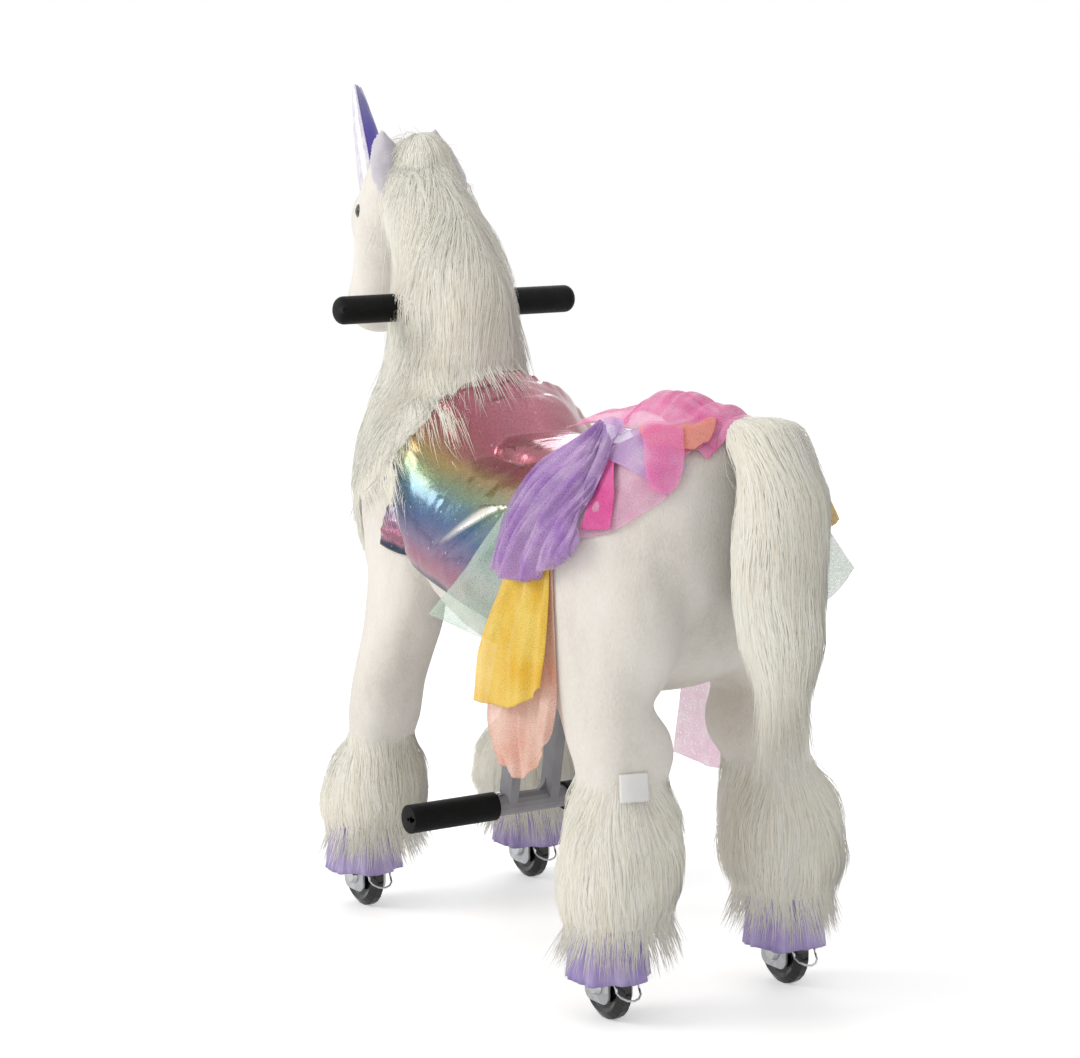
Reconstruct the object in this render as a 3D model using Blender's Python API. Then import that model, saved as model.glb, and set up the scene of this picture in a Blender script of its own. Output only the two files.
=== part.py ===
"""Plush ride-on unicorn that walks on four wheels.

Frame: +Z up, floor at z = 0, the nose points to -Y, the animal's left side is +X, and x = 0 is its
middle plane. The origin lies on the floor, midway between the horn's tip and the back of the tail.
All lengths are in metres, all angles in degrees.
"""

import math

import bmesh
import bpy
from mathutils import Matrix, Vector

# Stance and pivots
TRACK = 0.200                    # left wheel's middle to right wheel's middle
WHEELBASE = 0.446                # front axles to rear axles
WHEELBASE_MIDDLE_Y = 0.01423     # the wheelbase's middle, behind the origin
SHOULDER_BEHIND_AXLE = 0.068     # front legs lean forwards by this much
SHOULDER_BELOW_HIP = 0.0200
HIP_AHEAD_OF_AXLE = 0.042        # rear legs lean backwards by this much
HIP_HEIGHT = 0.405
CRANK_LENGTH = 0.050             # one length for the shoulder, the hip and the foot frame
FOOT_PIVOT_AHEAD_OF_HIP = 0.071
LEG_SWING = 12.0                 # degrees each leg pair opens when the child sits down
STEER_SWING = 15.0               # degrees the front end turns to each side

# Clearances
SEAT_GAP = 0.0003                # between pieces that touch
RUNNING_GAP = 0.0004             # radial, between a shaft and its bore
MOVING_GAP = 0.0030              # between soft pieces that pass each other
OVERRUN = 0.0100                 # how far a cutter reaches past what it cuts

# Wheels and what carries them
WHEEL_RADIUS = 0.032
WHEEL_WIDTH = 0.019
WHEEL_FACETS = 24
TREAD_FLAT = 0.0070              # width of the level middle of the tread
HUB_RADIUS = 0.0130
RIM_RADIUS = 0.0235
DISH_DEPTH = 0.0020
AXLE_RADIUS = 0.0040
BEARING_WALL = 0.0040            # one-way bearing in each rear hub
BEARING_WIDTH = 0.0120
FORK_PLATE = 0.0024
FORK_PLATE_WIDTH = 0.038
FORK_SIDE_GAP = 0.0016           # wheel's side to fork plate
FORK_TOP_GAP = 0.0030            # tread to the fork's bridge
FORK_BELOW_AXLE = 0.0150
FORK_CORNER = 0.0090
NUT_RADIUS = 0.0088
NUT_HEIGHT = 0.0040
GUARD_WIRE_RADIUS = 0.0011
GUARD_REACH = 0.0075             # wire's distance behind the tread
GUARD_DROP = 0.0060              # wire's lowest point below the axle
GUARD_ROOT_RISE = 0.0150         # wire's root above the axle

# Hoof cuffs
CUFF_TOP_RADIUS = 0.0345
CUFF_HEM_RADIUS = 0.0385
CUFF_CLOTH = 0.0014
CUFF_HEM_HEIGHT = 0.0400
CUFF_TOP_HEIGHT = 0.0797
CUFF_FOLDS = 9
CUFF_FOLD_DEPTH = 0.0012
BOOT_SOLE_HEIGHT = 0.0800

# Leg frames
LEG_TUBE_RADIUS = 0.0110
LEG_SHAFT_RADIUS = 0.0080
LEG_TUBE_INSET = 0.0140          # leg tube's top, inboard of the wheel's middle
TUBE_SIDES = 14
CRANK_PLATE = 0.0050
CRANK_HALF_GAP = 0.0100          # crank cheek's inner face from the middle plane
CRANK_EYE_RADIUS = 0.0120
CRANK_PIN_RADIUS = 0.0040
CRANK_PIN_EYE_RADIUS = 0.0080

# Drag link
LINK_HALF_THICKNESS = 0.0030
LINK_HALF_WIDTH = 0.0095
LINK_SLACK = 0.0025              # radial play at the foot and shoulder pins
LINK_PIN_GAP = 0.0006

# Seat beam
BEAM_HALF_WIDTH = 0.0390         # side plate's outer face from the middle plane
BEAM_PLATE = 0.0050
BEAM_TOP_ABOVE_HIP = 0.0610
BEAM_DEPTH = 0.0260
BEAM_REAR_OVERHANG = 0.0450      # behind the hip
BEAM_FRONT_OVERHANG = 0.0400     # behind the steering axis
LUG_RADIUS = 0.0150
YOKE_PLATE = 0.0050
HEAD_TUBE_RADIUS = 0.0240
HEAD_TUBE_HEIGHT = 0.0560
BUSH_WALL = 0.0040
BUSH_FLANGE = 0.0030
CROSS_TUBE_RADIUS = 0.0090
SPRING_WIRE_RADIUS = 0.0013
SPRING_TURNS = 3
SPRING_COIL_GAP = 0.0012         # spring's inside to the hip shaft

# Seat
SEAT_HALF_WIDTH = 0.0400
SEAT_BOARD = 0.0070
SEAT_FOAM = 0.0080
SEAT_FRONT_AHEAD_OF_HIP = 0.2000
SEAT_REAR_BEHIND_HIP = 0.0420
SEAT_CORNER = 0.0150

# Steering post, handlebar and head support
POST_RADIUS = 0.0125
POST_SIDES = 18
POST_FORK_PLATE = 0.0060
POST_FORK_HALF_WIDTH = 0.0260
POST_CROWN = 0.0050
POST_CROWN_GAP = 0.0015          # crank's top to the fork's crown
BAR_AHEAD_OF_POST = 0.0480
BAR_ABOVE_HIP = 0.2080
BAR_RADIUS = 0.0110
GRIP_RADIUS = 0.0140
GRIP_LENGTH = 0.1100
BAR_HALF_LENGTH = 0.1385         # out to the grips' ends
GRIP_DOME = 0.0090
GRIP_END_WALL = 0.0050
STEM_HALF_WIDTH = 0.0120
STEM_HALF_HEIGHT = 0.0130
HEAD_ROD_RADIUS = 0.0060
HEAD_ROD_AHEAD = 0.1300          # rod's end, in front of the post
HEAD_ROD_ABOVE_HIP = 0.3100

# Foot bar
FOOT_BAR_AHEAD_OF_PIVOT = 0.1780
FOOT_BAR_BELOW_PIVOT = 0.1945
FOOT_TUBE_RADIUS = 0.0110
FOOT_GRIP_RADIUS = 0.0142
FOOT_GRIP_LENGTH = 0.0980
FOOT_BAR_HALF_LENGTH = 0.1390
FOOT_ARM_WIDTH = 0.0200
FOOT_ARM_THICKNESS = 0.0100
FOOT_ARM_MIDDLE_X = 0.0240
FOOT_ARM_LEAN = 10.0             # degrees the visible arms lean back
FOOT_ARM_RISE = 0.1650           # straight part of the arm above the foot bar
FOOT_GUSSET = 0.0120
SCREW_HEAD_RADIUS = 0.0040
SCREW_HEAD_HEIGHT = 0.0022

# Torso
TORSO_FRONT_AHEAD_OF_POST = 0.005
TORSO_REAR_BEHIND_HIP = 0.1220
TORSO_HALF_WIDTH = 0.1245
TORSO_BELLY_BELOW_HIP = 0.1250
TORSO_TOP_ABOVE_HIP = 0.1400
BELLY_ROUNDNESS = 2.3            # exponent of the cross-section's lower half
TORSO_POINTS = 28
CAVITY_HALF_WIDTH = 0.0420
CAVITY_FLOOR_BELOW_HIP = 0.0990
CAVITY_REAR_RISE = 0.0440
FOOT_SLOT_HALF_WIDTH = 0.0360
# y share of the torso's length, half-width share, belly and top shares of the torso's height, and the
# exponent of the section's upper half: narrow like a roof at the saddle, full at the rump
TORSO_STATION_SHARES = (
    (0.000, 0.960, 0.215, 1.000, 2.20),
    (0.110, 0.985, 0.120, 0.990, 2.10),
    (0.225, 0.980, 0.045, 0.890, 1.70),
    (0.370, 0.975, 0.008, 0.815, 1.65),
    (0.500, 0.980, 0.000, 0.820, 1.75),
    (0.630, 0.985, 0.005, 0.880, 2.10),
    (0.745, 0.975, 0.015, 0.950, 2.30),
    (0.840, 0.900, 0.100, 0.992, 2.30),
    (0.915, 0.745, 0.240, 0.980, 2.20),
    (0.970, 0.500, 0.400, 0.920, 2.20),
)
TORSO_END_SHARE = 0.690

# Chest: shoulders that turn with the head, height share, rear radius share, front depth share
CHEST_BOTTOM_BELOW_HIP = 0.0750
CHEST_TOP_ABOVE_HIP = 0.1150
CHEST_RADIUS = 0.1215
CHEST_FRONT_DEPTH = 0.1220
CHEST_WALL = 0.0300
CHEST_REAR_OPENING = 105.0       # degrees left open towards the torso
CHEST_SHARES = (
    (0.000, 0.640, 0.650),
    (0.090, 0.840, 0.850),
    (0.240, 0.970, 0.960),
    (0.370, 1.000, 0.990),
    (0.560, 1.000, 1.000),
    (0.740, 0.900, 0.995),
    (0.880, 0.740, 0.945),
    (1.000, 0.630, 0.895),
)
TRIM_SLOPE_BOTTOM_ABOVE_HIP = 0.0300
TRIM_SLOPE_TOP_BEHIND_POST = 0.0600
TRIM_SLOPE_TOP_ABOVE_HIP = 0.1550

# Leg plush
LEG_INNER_GAP = 0.0020           # thigh's inner face outboard of its socket
SHOULDER_DISC_RADIUS = 0.0550
SHOULDER_INNER_X = 0.0500
SHOULDER_OUTER_X = 0.1175
HIP_DISC_RADIUS = 0.0780
HIP_INNER_X = 0.0600
HIP_OUTER_X = 0.1300
FRONT_SHIN_RADIUS = 0.0365       # room that the steering leaves for the upper front leg
FRONT_BOOT_RADIUS = 0.0540
REAR_BOOT_RADIUS = 0.0580
LEG_POINTS = 14
# height share from the sole to the pivot, then as shares: middle of half the track, half-width and
# half-depth of the boot's radius, and the way from the axle to the pivot
FRONT_LEG_SHARES = (
    (0.000, 1.000, 0.667, 0.667, 0.000),
    (0.049, 0.960, 0.870, 0.870, 0.050),
    (0.115, 0.920, 1.000, 1.000, 0.080),
    (0.207, 0.915, 0.970, 0.970, 0.140),
    (0.269, 0.915, 0.820, 0.820, 0.220),
    (0.311, 0.920, 0.676, 0.676, 0.300),
    (0.525, 0.920, 0.676, 0.676, 0.550),
    (0.721, 0.865, 0.676, 0.826, 0.850),
    (0.852, 0.850, 0.648, 0.944, 0.950),
)
REAR_LEG_SHARES = (
    (0.000, 1.000, 0.620, 0.620, 0.000),
    (0.050, 0.960, 0.860, 0.860, -0.080),
    (0.140, 0.905, 1.000, 1.000, -0.120),
    (0.262, 0.885, 0.990, 0.990, -0.100),
    (0.354, 0.860, 0.900, 0.900, 0.000),
    (0.415, 0.830, 0.760, 0.760, 0.150),
    (0.477, 0.760, 0.780, 0.820, 0.300),
    (0.508, 0.768, 0.806, 0.880, 0.400),
    (0.560, 0.790, 0.776, 0.940, 0.480),
    (0.603, 0.858, 0.670, 1.000, 0.550),
    (0.646, 0.925, 0.560, 1.060, 0.650),
    (0.800, 0.943, 0.590, 1.240, 0.900),
)
DISC_LEVEL_SHARES = (0.00, 0.30, 0.58, 0.80, 0.94)
DISC_CROWN_SHARE = 0.30          # how far the disc's face draws in towards its rim

# Saddle and tulle
SADDLE_CLOTH = 0.0025
SADDLE_GAP = 0.0012              # lining under the foil, not modelled
SADDLE_REAR_AHEAD_OF_HIP = 0.0940
SADDLE_HEM_FRONT_BELOW_HIP = 0.0200
SADDLE_HEM_REAR_BELOW_HIP = 0.0800
TULLE_CLOTH = 0.0010
TULLE_LAYER_GAP = 0.0007
TULLE_HALF_WIDTH = 0.1320        # out to the first strip's inner face
TULLE_RISE = 0.0050              # first strip above the torso's top line
TULLE_FOLD_DEPTH = 0.0060
TULLE_FOLD_PITCH = 0.0960
TULLE_FOLD_REACH = 0.2100        # height over which the folds grow to full depth
FULL_DRAPE_ANGLES = (0, 18, 36, 54, 72)
SHORT_DRAPE_ANGLES = (18, 36, 54, 72)
TULLE_NARROWS_SHARE = 0.80       # of the torso's length, from where the strips draw in with it

# Neck and head
NECK_TOP_ABOVE_HIP = 0.3510
NECK_HALF_WIDTH = 0.0640
NECK_HALF_DEPTH = 0.0795
NECK_MIDDLE_AHEAD_OF_POST = 0.0275
NECK_POINTS = 24
NECK_POCKET_HALF_WIDTH = 0.0160
# height share, half-width share, half-depth share, middle's step forwards as a share of the half-depth
NECK_SHARES = (
    (0.000, 1.000, 1.000, 0.000),
    (0.170, 0.900, 0.900, 0.070),
    (0.390, 0.760, 0.765, 0.160),
    (0.500, 0.700, 0.720, 0.175),
    (0.640, 0.625, 0.500, 0.350),
    (0.760, 0.600, 0.480, 0.690),
    (0.860, 0.550, 0.400, 0.930),
    (0.940, 0.460, 0.335, 1.020),
    (0.985, 0.300, 0.230, 1.000),
)
POLL_AHEAD_OF_POST = 0.1210
POLL_ABOVE_HIP = 0.3630
HEAD_LENGTH = 0.2150
HEAD_TILT = 28.0                 # degrees the face leans out from plumb
HEAD_HALF_WIDTH = 0.0460
HEAD_HALF_DEPTH = 0.0530
HEAD_POINTS = 24
# share of the head's length, half-width share, half-depth share
HEAD_SHARES = (
    (0.010, 0.400, 0.400),
    (0.060, 0.740, 0.740),
    (0.140, 0.920, 0.910),
    (0.250, 1.000, 1.000),
    (0.380, 1.000, 1.000),
    (0.510, 0.920, 0.910),
    (0.640, 0.790, 0.770),
    (0.760, 0.710, 0.680),
    (0.870, 0.710, 0.670),
    (0.940, 0.640, 0.590),
    (0.985, 0.440, 0.400),
)
EAR_LENGTH = 0.0620
EAR_HALF_WIDTH = 0.0180
EAR_THICKNESS = 0.0060
EAR_SPREAD = 0.0290              # ear's root from the middle plane
EAR_ROOT_BEHIND_POLL = 0.0110
EAR_ROOT_BELOW_POLL = 0.0380
EAR_LEAN_FORWARD = 24.0
EAR_LEAN_OUT = 3.0
EAR_SHARES = ((0.00, 0.55), (0.22, 0.86), (0.45, 1.00), (0.68, 0.80), (0.86, 0.45), (0.96, 0.20))
HORN_LENGTH = 0.1180
HORN_RADIUS = 0.0190
HORN_ROOT_AHEAD_OF_POLL = 0.0840
HORN_ROOT_BELOW_POLL = 0.0460
HORN_LEAN = 22.5
HORN_SIDES = 16
HORN_SHARES = ((0.00, 1.00), (0.32, 0.79), (0.585, 0.63), (0.763, 0.47), (0.932, 0.26), (0.98, 0.12))
EYE_RADIUS = 0.0085
EYE_SPREAD = 0.0405
EYE_AHEAD_OF_POLL = 0.0490
EYE_BELOW_POLL = 0.0660
EYE_FLATNESS_SHARE = 0.55

# Mane and tail: outer shapes of the long fur
MANE_THICKNESS = 0.0150
MANE_HEM_THICKNESS = 0.0040
MANE_SINK = 0.0040               # mane's slab starts inside the skin and is cut to it
MANE_BELOW_POLL = 0.0100         # top of the mane below the top of the neck
MANE_NAPE_ABOVE_HIP = 0.1510
MANE_HEM_ABOVE_HIP = 0.0350
TOPKNOT_SINK = 0.0300            # tuft's root below the top of the neck
TOPKNOT_TOP_ABOVE_HIP = 0.3810
TOPKNOT_HALF_WIDTH = 0.0290
TOPKNOT_HALF_DEPTH = 0.0300
TOPKNOT_LEAN = 0.0080
TOPKNOT_SHARES = ((0.00, 0.85), (0.35, 1.00), (0.65, 0.85), (0.88, 0.50))
TAIL_RADIUS = 0.0380
TAIL_ROOT_BEHIND_HIP = 0.0980
TAIL_ROOT_ABOVE_HIP = 0.1240
TAIL_TOP_ABOVE_HIP = 0.1300
TAIL_FALL_BEHIND_HIP = 0.1575
TAIL_END_BELOW_HIP = 0.1000
TAIL_END_BEHIND_HIP = 0.1640
TAIL_SIDES = 14

# Places that follow from the sizes above
AXLE_X = TRACK / 2
FRONT_AXLE_Y = WHEELBASE_MIDDLE_Y - WHEELBASE / 2
REAR_AXLE_Y = WHEELBASE_MIDDLE_Y + WHEELBASE / 2
POST_Y = FRONT_AXLE_Y + SHOULDER_BEHIND_AXLE
HIP_Y = REAR_AXLE_Y - HIP_AHEAD_OF_AXLE
SHOULDER_HEIGHT = HIP_HEIGHT - SHOULDER_BELOW_HIP
BEAM_TOP_HEIGHT = HIP_HEIGHT + BEAM_TOP_ABOVE_HIP
BAR_HEIGHT = HIP_HEIGHT + BAR_ABOVE_HIP
HEAD_ROD_HEIGHT = HIP_HEIGHT + HEAD_ROD_ABOVE_HIP
TORSO_BELLY_HEIGHT = HIP_HEIGHT - TORSO_BELLY_BELOW_HIP
TORSO_TOP_HEIGHT = HIP_HEIGHT + TORSO_TOP_ABOVE_HIP
CAVITY_FLOOR_HEIGHT = HIP_HEIGHT - CAVITY_FLOOR_BELOW_HIP
CHEST_BOTTOM_HEIGHT = HIP_HEIGHT - CHEST_BOTTOM_BELOW_HIP
CHEST_TOP_HEIGHT = HIP_HEIGHT + CHEST_TOP_ABOVE_HIP
TRIM_SLOPE_BOTTOM_HEIGHT = HIP_HEIGHT + TRIM_SLOPE_BOTTOM_ABOVE_HIP
TRIM_SLOPE_TOP_HEIGHT = HIP_HEIGHT + TRIM_SLOPE_TOP_ABOVE_HIP
SADDLE_HEM_FRONT_HEIGHT = HIP_HEIGHT - SADDLE_HEM_FRONT_BELOW_HIP
SADDLE_HEM_REAR_HEIGHT = HIP_HEIGHT - SADDLE_HEM_REAR_BELOW_HIP
NECK_TOP_HEIGHT = HIP_HEIGHT + NECK_TOP_ABOVE_HIP
POLL_HEIGHT = HIP_HEIGHT + POLL_ABOVE_HIP
MANE_NAPE_HEIGHT = HIP_HEIGHT + MANE_NAPE_ABOVE_HIP
MANE_HEM_HEIGHT = HIP_HEIGHT + MANE_HEM_ABOVE_HIP
TOPKNOT_TOP_HEIGHT = HIP_HEIGHT + TOPKNOT_TOP_ABOVE_HIP
TAIL_ROOT_HEIGHT = HIP_HEIGHT + TAIL_ROOT_ABOVE_HIP
TAIL_TOP_HEIGHT = HIP_HEIGHT + TAIL_TOP_ABOVE_HIP
TAIL_END_HEIGHT = HIP_HEIGHT - TAIL_END_BELOW_HIP
SHOULDER_PIN_Z = SHOULDER_HEIGHT + CRANK_LENGTH
HIP_PIN_Z = HIP_HEIGHT - CRANK_LENGTH
FOOT_PIVOT_Y = HIP_Y - FOOT_PIVOT_AHEAD_OF_HIP
LINK_RISE_SHARE = (SHOULDER_PIN_Z - HIP_PIN_Z) / (HIP_Y - POST_Y)
FOOT_PIN_Z = HIP_PIN_Z + FOOT_PIVOT_AHEAD_OF_HIP * LINK_RISE_SHARE
FOOT_PIVOT_Z = FOOT_PIN_Z - CRANK_LENGTH
FOOT_BAR_Y = FOOT_PIVOT_Y - FOOT_BAR_AHEAD_OF_PIVOT
FOOT_BAR_Z = FOOT_PIVOT_Z - FOOT_BAR_BELOW_PIVOT
FORK_HALF = WHEEL_WIDTH / 2 + FORK_SIDE_GAP
FORK_OUTER = FORK_HALF + FORK_PLATE
FORK_TOP_Z = 2 * WHEEL_RADIUS + FORK_TOP_GAP + FORK_PLATE
BAR_Y = POST_Y - BAR_AHEAD_OF_POST
SEAT_FOAM_TOP = BEAM_TOP_HEIGHT + SEAT_GAP + SEAT_BOARD + SEAT_GAP + SEAT_FOAM
TORSO_FRONT_Y = POST_Y - TORSO_FRONT_AHEAD_OF_POST
TORSO_LENGTH = HIP_Y + TORSO_REAR_BEHIND_HIP - TORSO_FRONT_Y
TORSO_HEIGHT = TORSO_TOP_HEIGHT - TORSO_BELLY_HEIGHT
POLL_Y = POST_Y - POLL_AHEAD_OF_POST


# Materials

def colour(red, green, blue):
    return tuple((part / 255.0) ** 2.2 for part in (red, green, blue)) + (1.0,)


MATERIALS = {
    "white_plush": (colour(246, 245, 242), 0.95, 0.0),
    "long_fur": (colour(244, 240, 228), 0.9, 0.0),
    "rainbow_foil": (colour(205, 120, 160), 0.25, 0.4),
    "tulle_purple": (colour(176, 110, 196), 0.7, 0.0),
    "tulle_pink": (colour(236, 96, 168), 0.7, 0.0),
    "tulle_mint": (colour(184, 222, 206), 0.7, 0.0),
    "tulle_yellow": (colour(240, 200, 88), 0.7, 0.0),
    "tulle_peach": (colour(240, 178, 160), 0.7, 0.0),
    "horn_foil": (colour(92, 74, 160), 0.3, 0.5),
    "ear_velvet": (colour(200, 192, 202), 0.9, 0.0),
    "eye_black": (colour(14, 14, 16), 0.08, 0.0),
    "cuff_satin": (colour(186, 164, 222), 0.45, 0.0),
    "grip_foam": (colour(22, 22, 24), 0.85, 0.0),
    "tyre_black": (colour(16, 16, 18), 0.25, 0.0),
    "zinc_steel": (colour(196, 198, 200), 0.35, 1.0),
    "grey_paint": (colour(150, 146, 148), 0.45, 0.2),
    "bright_steel": (colour(180, 182, 186), 0.3, 1.0),
    "spring_steel": (colour(120, 122, 128), 0.35, 1.0),
    "bronze": (colour(176, 140, 86), 0.4, 1.0),
    "plywood": (colour(205, 176, 134), 0.7, 0.0),
    "cream_foam": (colour(238, 226, 190), 0.9, 0.0),
}


def material(name):
    found = bpy.data.materials.get(name)
    if found:
        return found
    made = bpy.data.materials.new(name)
    made.use_nodes = True
    shader = made.node_tree.nodes["Principled BSDF"]
    base, rough, metal = MATERIALS[name]
    shader.inputs["Base Color"].default_value = base
    shader.inputs["Roughness"].default_value = rough
    shader.inputs["Metallic"].default_value = metal
    return made


# Shape helpers

def clear_scene():
    for thing in list(bpy.data.objects):
        bpy.data.objects.remove(thing)


def mesh_object(name, points, faces):
    mesh = bpy.data.meshes.new(name)
    mesh.from_pydata([tuple(p) for p in points], [], faces)
    work = bmesh.new()
    work.from_mesh(mesh)
    bmesh.ops.recalc_face_normals(work, faces=work.faces)
    work.to_mesh(mesh)
    work.free()
    thing = bpy.data.objects.new(name, mesh)
    bpy.context.scene.collection.objects.link(thing)
    return thing


def loft(name, rings, start=None, end=None):
    """Skins rings of equally many points; start and end are points that close it, or flat caps."""
    count = len(rings[0])
    points = [p for ring in rings for p in ring]
    faces = []
    for r in range(len(rings) - 1):
        for k in range(count):
            a, b = r * count + k, r * count + (k + 1) % count
            faces.append((a, b, b + count, a + count))
    last = (len(rings) - 1) * count
    for tip, base in ((start, 0), (end, last)):
        if tip is None:
            faces.append(tuple(range(base, base + count)))
        else:
            points.append(tip)
            faces += [(base + k, base + (k + 1) % count, len(points) - 1) for k in range(count)]
    return mesh_object(name, points, faces)


def ring_loft(name, rings):
    """Skins rings round a closed loop of rings, as for a tube that bites its tail."""
    count, total = len(rings[0]), len(rings)
    points = [p for ring in rings for p in ring]
    faces = []
    for r in range(total):
        for k in range(count):
            a, b = r * count + k, r * count + (k + 1) % count
            c, d = (r + 1) % total * count + (k + 1) % count, (r + 1) % total * count + k
            faces.append((a, b, c, d))
    return mesh_object(name, points, faces)


def circle(radius, sides, turn=0.5):
    return [(radius * math.cos(2 * math.pi * (k + turn) / sides),
             radius * math.sin(2 * math.pi * (k + turn) / sides)) for k in range(sides)]


def around(vertex_radius, sides):
    """Vertex radius of a polygon whose flats lie at the given radius."""
    return vertex_radius / math.cos(math.pi / sides)


def turned_x(name, profile, centre, sides, hollow=False):
    """Revolves (x, radius) points about the line along X through centre."""
    rings = [[(centre[0] + x, centre[1] + a, centre[2] + b) for a, b in circle(r, sides)]
             for x, r in profile]
    return ring_loft(name, rings) if hollow else loft(name, rings)


def turned_z(name, profile, centre, sides, hollow=False):
    """Revolves (z, radius) points about the upright line through centre."""
    rings = [[(centre[0] + a, centre[1] + b, centre[2] + z) for a, b in circle(r, sides)]
             for z, r in profile]
    return ring_loft(name, rings) if hollow else loft(name, rings)


def rod(name, start, end, radius, sides=TUBE_SIDES):
    start, end = Vector(start), Vector(end)
    along = (end - start).normalized()
    side = along.cross(Vector((0, 0, 1)))
    side = Vector((1, 0, 0)) if side.length < 0.01 else side.normalized()
    up = side.cross(along)
    rings = [[p + side * a + up * b for a, b in circle(radius, sides)] for p in (start, end)]
    return loft(name, rings)


def swept(name, path, radii, sides, squash=1.0):
    """A tube along a path, with a radius for each point and a frame carried along it."""
    path = [Vector(p) for p in path]
    rings, side = [], None
    for k, here in enumerate(path):
        along = (path[min(k + 1, len(path) - 1)] - path[max(k - 1, 0)]).normalized()
        if side is None:
            side = along.orthogonal().normalized()
        side = (side - along * side.dot(along)).normalized()
        up = along.cross(side)
        rings.append([here + side * a + up * b * squash for a, b in circle(radii[k], sides)])
    return loft(name, rings)


def prism_x(name, outline, low, high):
    """An outline of (y, z) points, extruded along X."""
    return loft(name, [[(x, y, z) for y, z in outline] for x in (low, high)])


def prism_z(name, outline, low, high):
    """An outline of (x, y) points, extruded upwards."""
    return loft(name, [[(x, y, z) for x, y in outline] for z in (low, high)])


def arc(centre, radius, start, stop, steps):
    return [(centre[0] + radius * math.cos(math.radians(start + (stop - start) * k / steps)),
             centre[1] + radius * math.sin(math.radians(start + (stop - start) * k / steps)))
            for k in range(steps + 1)]


def combine(thing, tools, operation):
    """Joins or cuts with closed tools, which are used up."""
    for tool in tools:
        step = thing.modifiers.new(operation.lower(), "BOOLEAN")
        step.operation = operation
        step.solver = "EXACT"
        step.object = tool
        bpy.context.view_layer.update()
        seen = thing.evaluated_get(bpy.context.evaluated_depsgraph_get())
        mesh = bpy.data.meshes.new_from_object(seen)
        thing.modifiers.clear()
        old = thing.data
        thing.data = mesh
        bpy.data.meshes.remove(old)
    for tool in tools:
        data = tool.data
        bpy.data.objects.remove(tool)
        bpy.data.meshes.remove(data)
    return thing


def join(thing, *tools):
    return combine(thing, tools, "UNION")


def cut(thing, *tools):
    return combine(thing, tools, "DIFFERENCE")


def tidy(thing, name, finish, sharp=35.0):
    """Names a finished piece, gives it its material and smooth shading."""
    work = bmesh.new()
    work.from_mesh(thing.data)
    bmesh.ops.remove_doubles(work, verts=work.verts, dist=SEAT_GAP / 30)
    bmesh.ops.dissolve_degenerate(work, dist=SEAT_GAP / 30, edges=work.edges)
    bmesh.ops.recalc_face_normals(work, faces=work.faces)
    work.to_mesh(thing.data)
    work.free()
    thing.name = name
    thing.data.name = name
    thing.data.materials.clear()
    thing.data.materials.append(material(finish))
    thing.data.shade_smooth()
    thing.data.set_sharp_from_angle(angle=math.radians(sharp))
    return thing


def hang_on(pivot, *things):
    """Parents pieces to the empty on their joint's axis and leaves them where they are."""
    for thing in things:
        thing.parent = pivot
        thing.matrix_parent_inverse = pivot.matrix_world.inverted()


def pivot_at(name, place):
    empty = bpy.data.objects.new(name, None)
    empty.location = place
    bpy.context.scene.collection.objects.link(empty)
    bpy.context.view_layer.update()
    return empty


def between(table, share):
    """Reads a table of shares at one share, straight between its rows."""
    if share <= table[0][0]:
        return table[0][1:]
    for low, high in zip(table, table[1:]):
        if share <= high[0]:
            part = (share - low[0]) / (high[0] - low[0])
            return tuple(a + (b - a) * part for a, b in zip(low[1:], high[1:]))
    return table[-1][1:]


# Torso, saddle and tulle share one cross-section

def torso_section(y):
    """Half-width, belly and top heights, and the exponent of the upper half."""
    width, belly, top, fullness = between(TORSO_STATION_SHARES,
                                          (y - TORSO_FRONT_Y) / TORSO_LENGTH)
    return (width * TORSO_HALF_WIDTH, TORSO_BELLY_HEIGHT + belly * TORSO_HEIGHT,
            TORSO_BELLY_HEIGHT + top * TORSO_HEIGHT, fullness)


def section_point(y, angle, grow_x=0.0, grow_z=0.0):
    """A point of the torso's skin; angle 0 is the left side, 90 the top."""
    half, belly, top, fullness = torso_section(y)
    middle, tall = (belly + top) / 2, (top - belly) / 2 + grow_z
    c, s = math.cos(math.radians(angle)), math.sin(math.radians(angle))
    power = 2 / (fullness if s > 0 else BELLY_ROUNDNESS)
    return ((half + grow_x) * math.copysign(abs(c) ** power, c), y,
            middle + tall * math.copysign(abs(s) ** power, s))


def steering_cutter(clearance):
    """The space that the chest and the front legs sweep as they steer."""
    height = CHEST_TOP_HEIGHT - CHEST_BOTTOM_HEIGHT
    leg_sweep = math.hypot(AXLE_X, SHOULDER_BEHIND_AXLE / 3) + FRONT_SHIN_RADIUS
    profile = [(TORSO_BELLY_HEIGHT - OVERRUN, leg_sweep), (CHEST_BOTTOM_HEIGHT, leg_sweep)]
    profile += [(CHEST_BOTTOM_HEIGHT + rise * height, rear * CHEST_RADIUS + clearance)
                for rise, rear, front in CHEST_SHARES[2:]]
    neck_rear = NECK_HALF_DEPTH - NECK_MIDDLE_AHEAD_OF_POST + 2 * clearance
    profile += [(CHEST_TOP_HEIGHT + clearance, neck_rear),
                (TORSO_TOP_HEIGHT + 2 * OVERRUN, neck_rear)]
    return turned_z("steering space", [(z, around(r, 40)) for z, r in profile],
                    (0, POST_Y, 0), 40)


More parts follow.
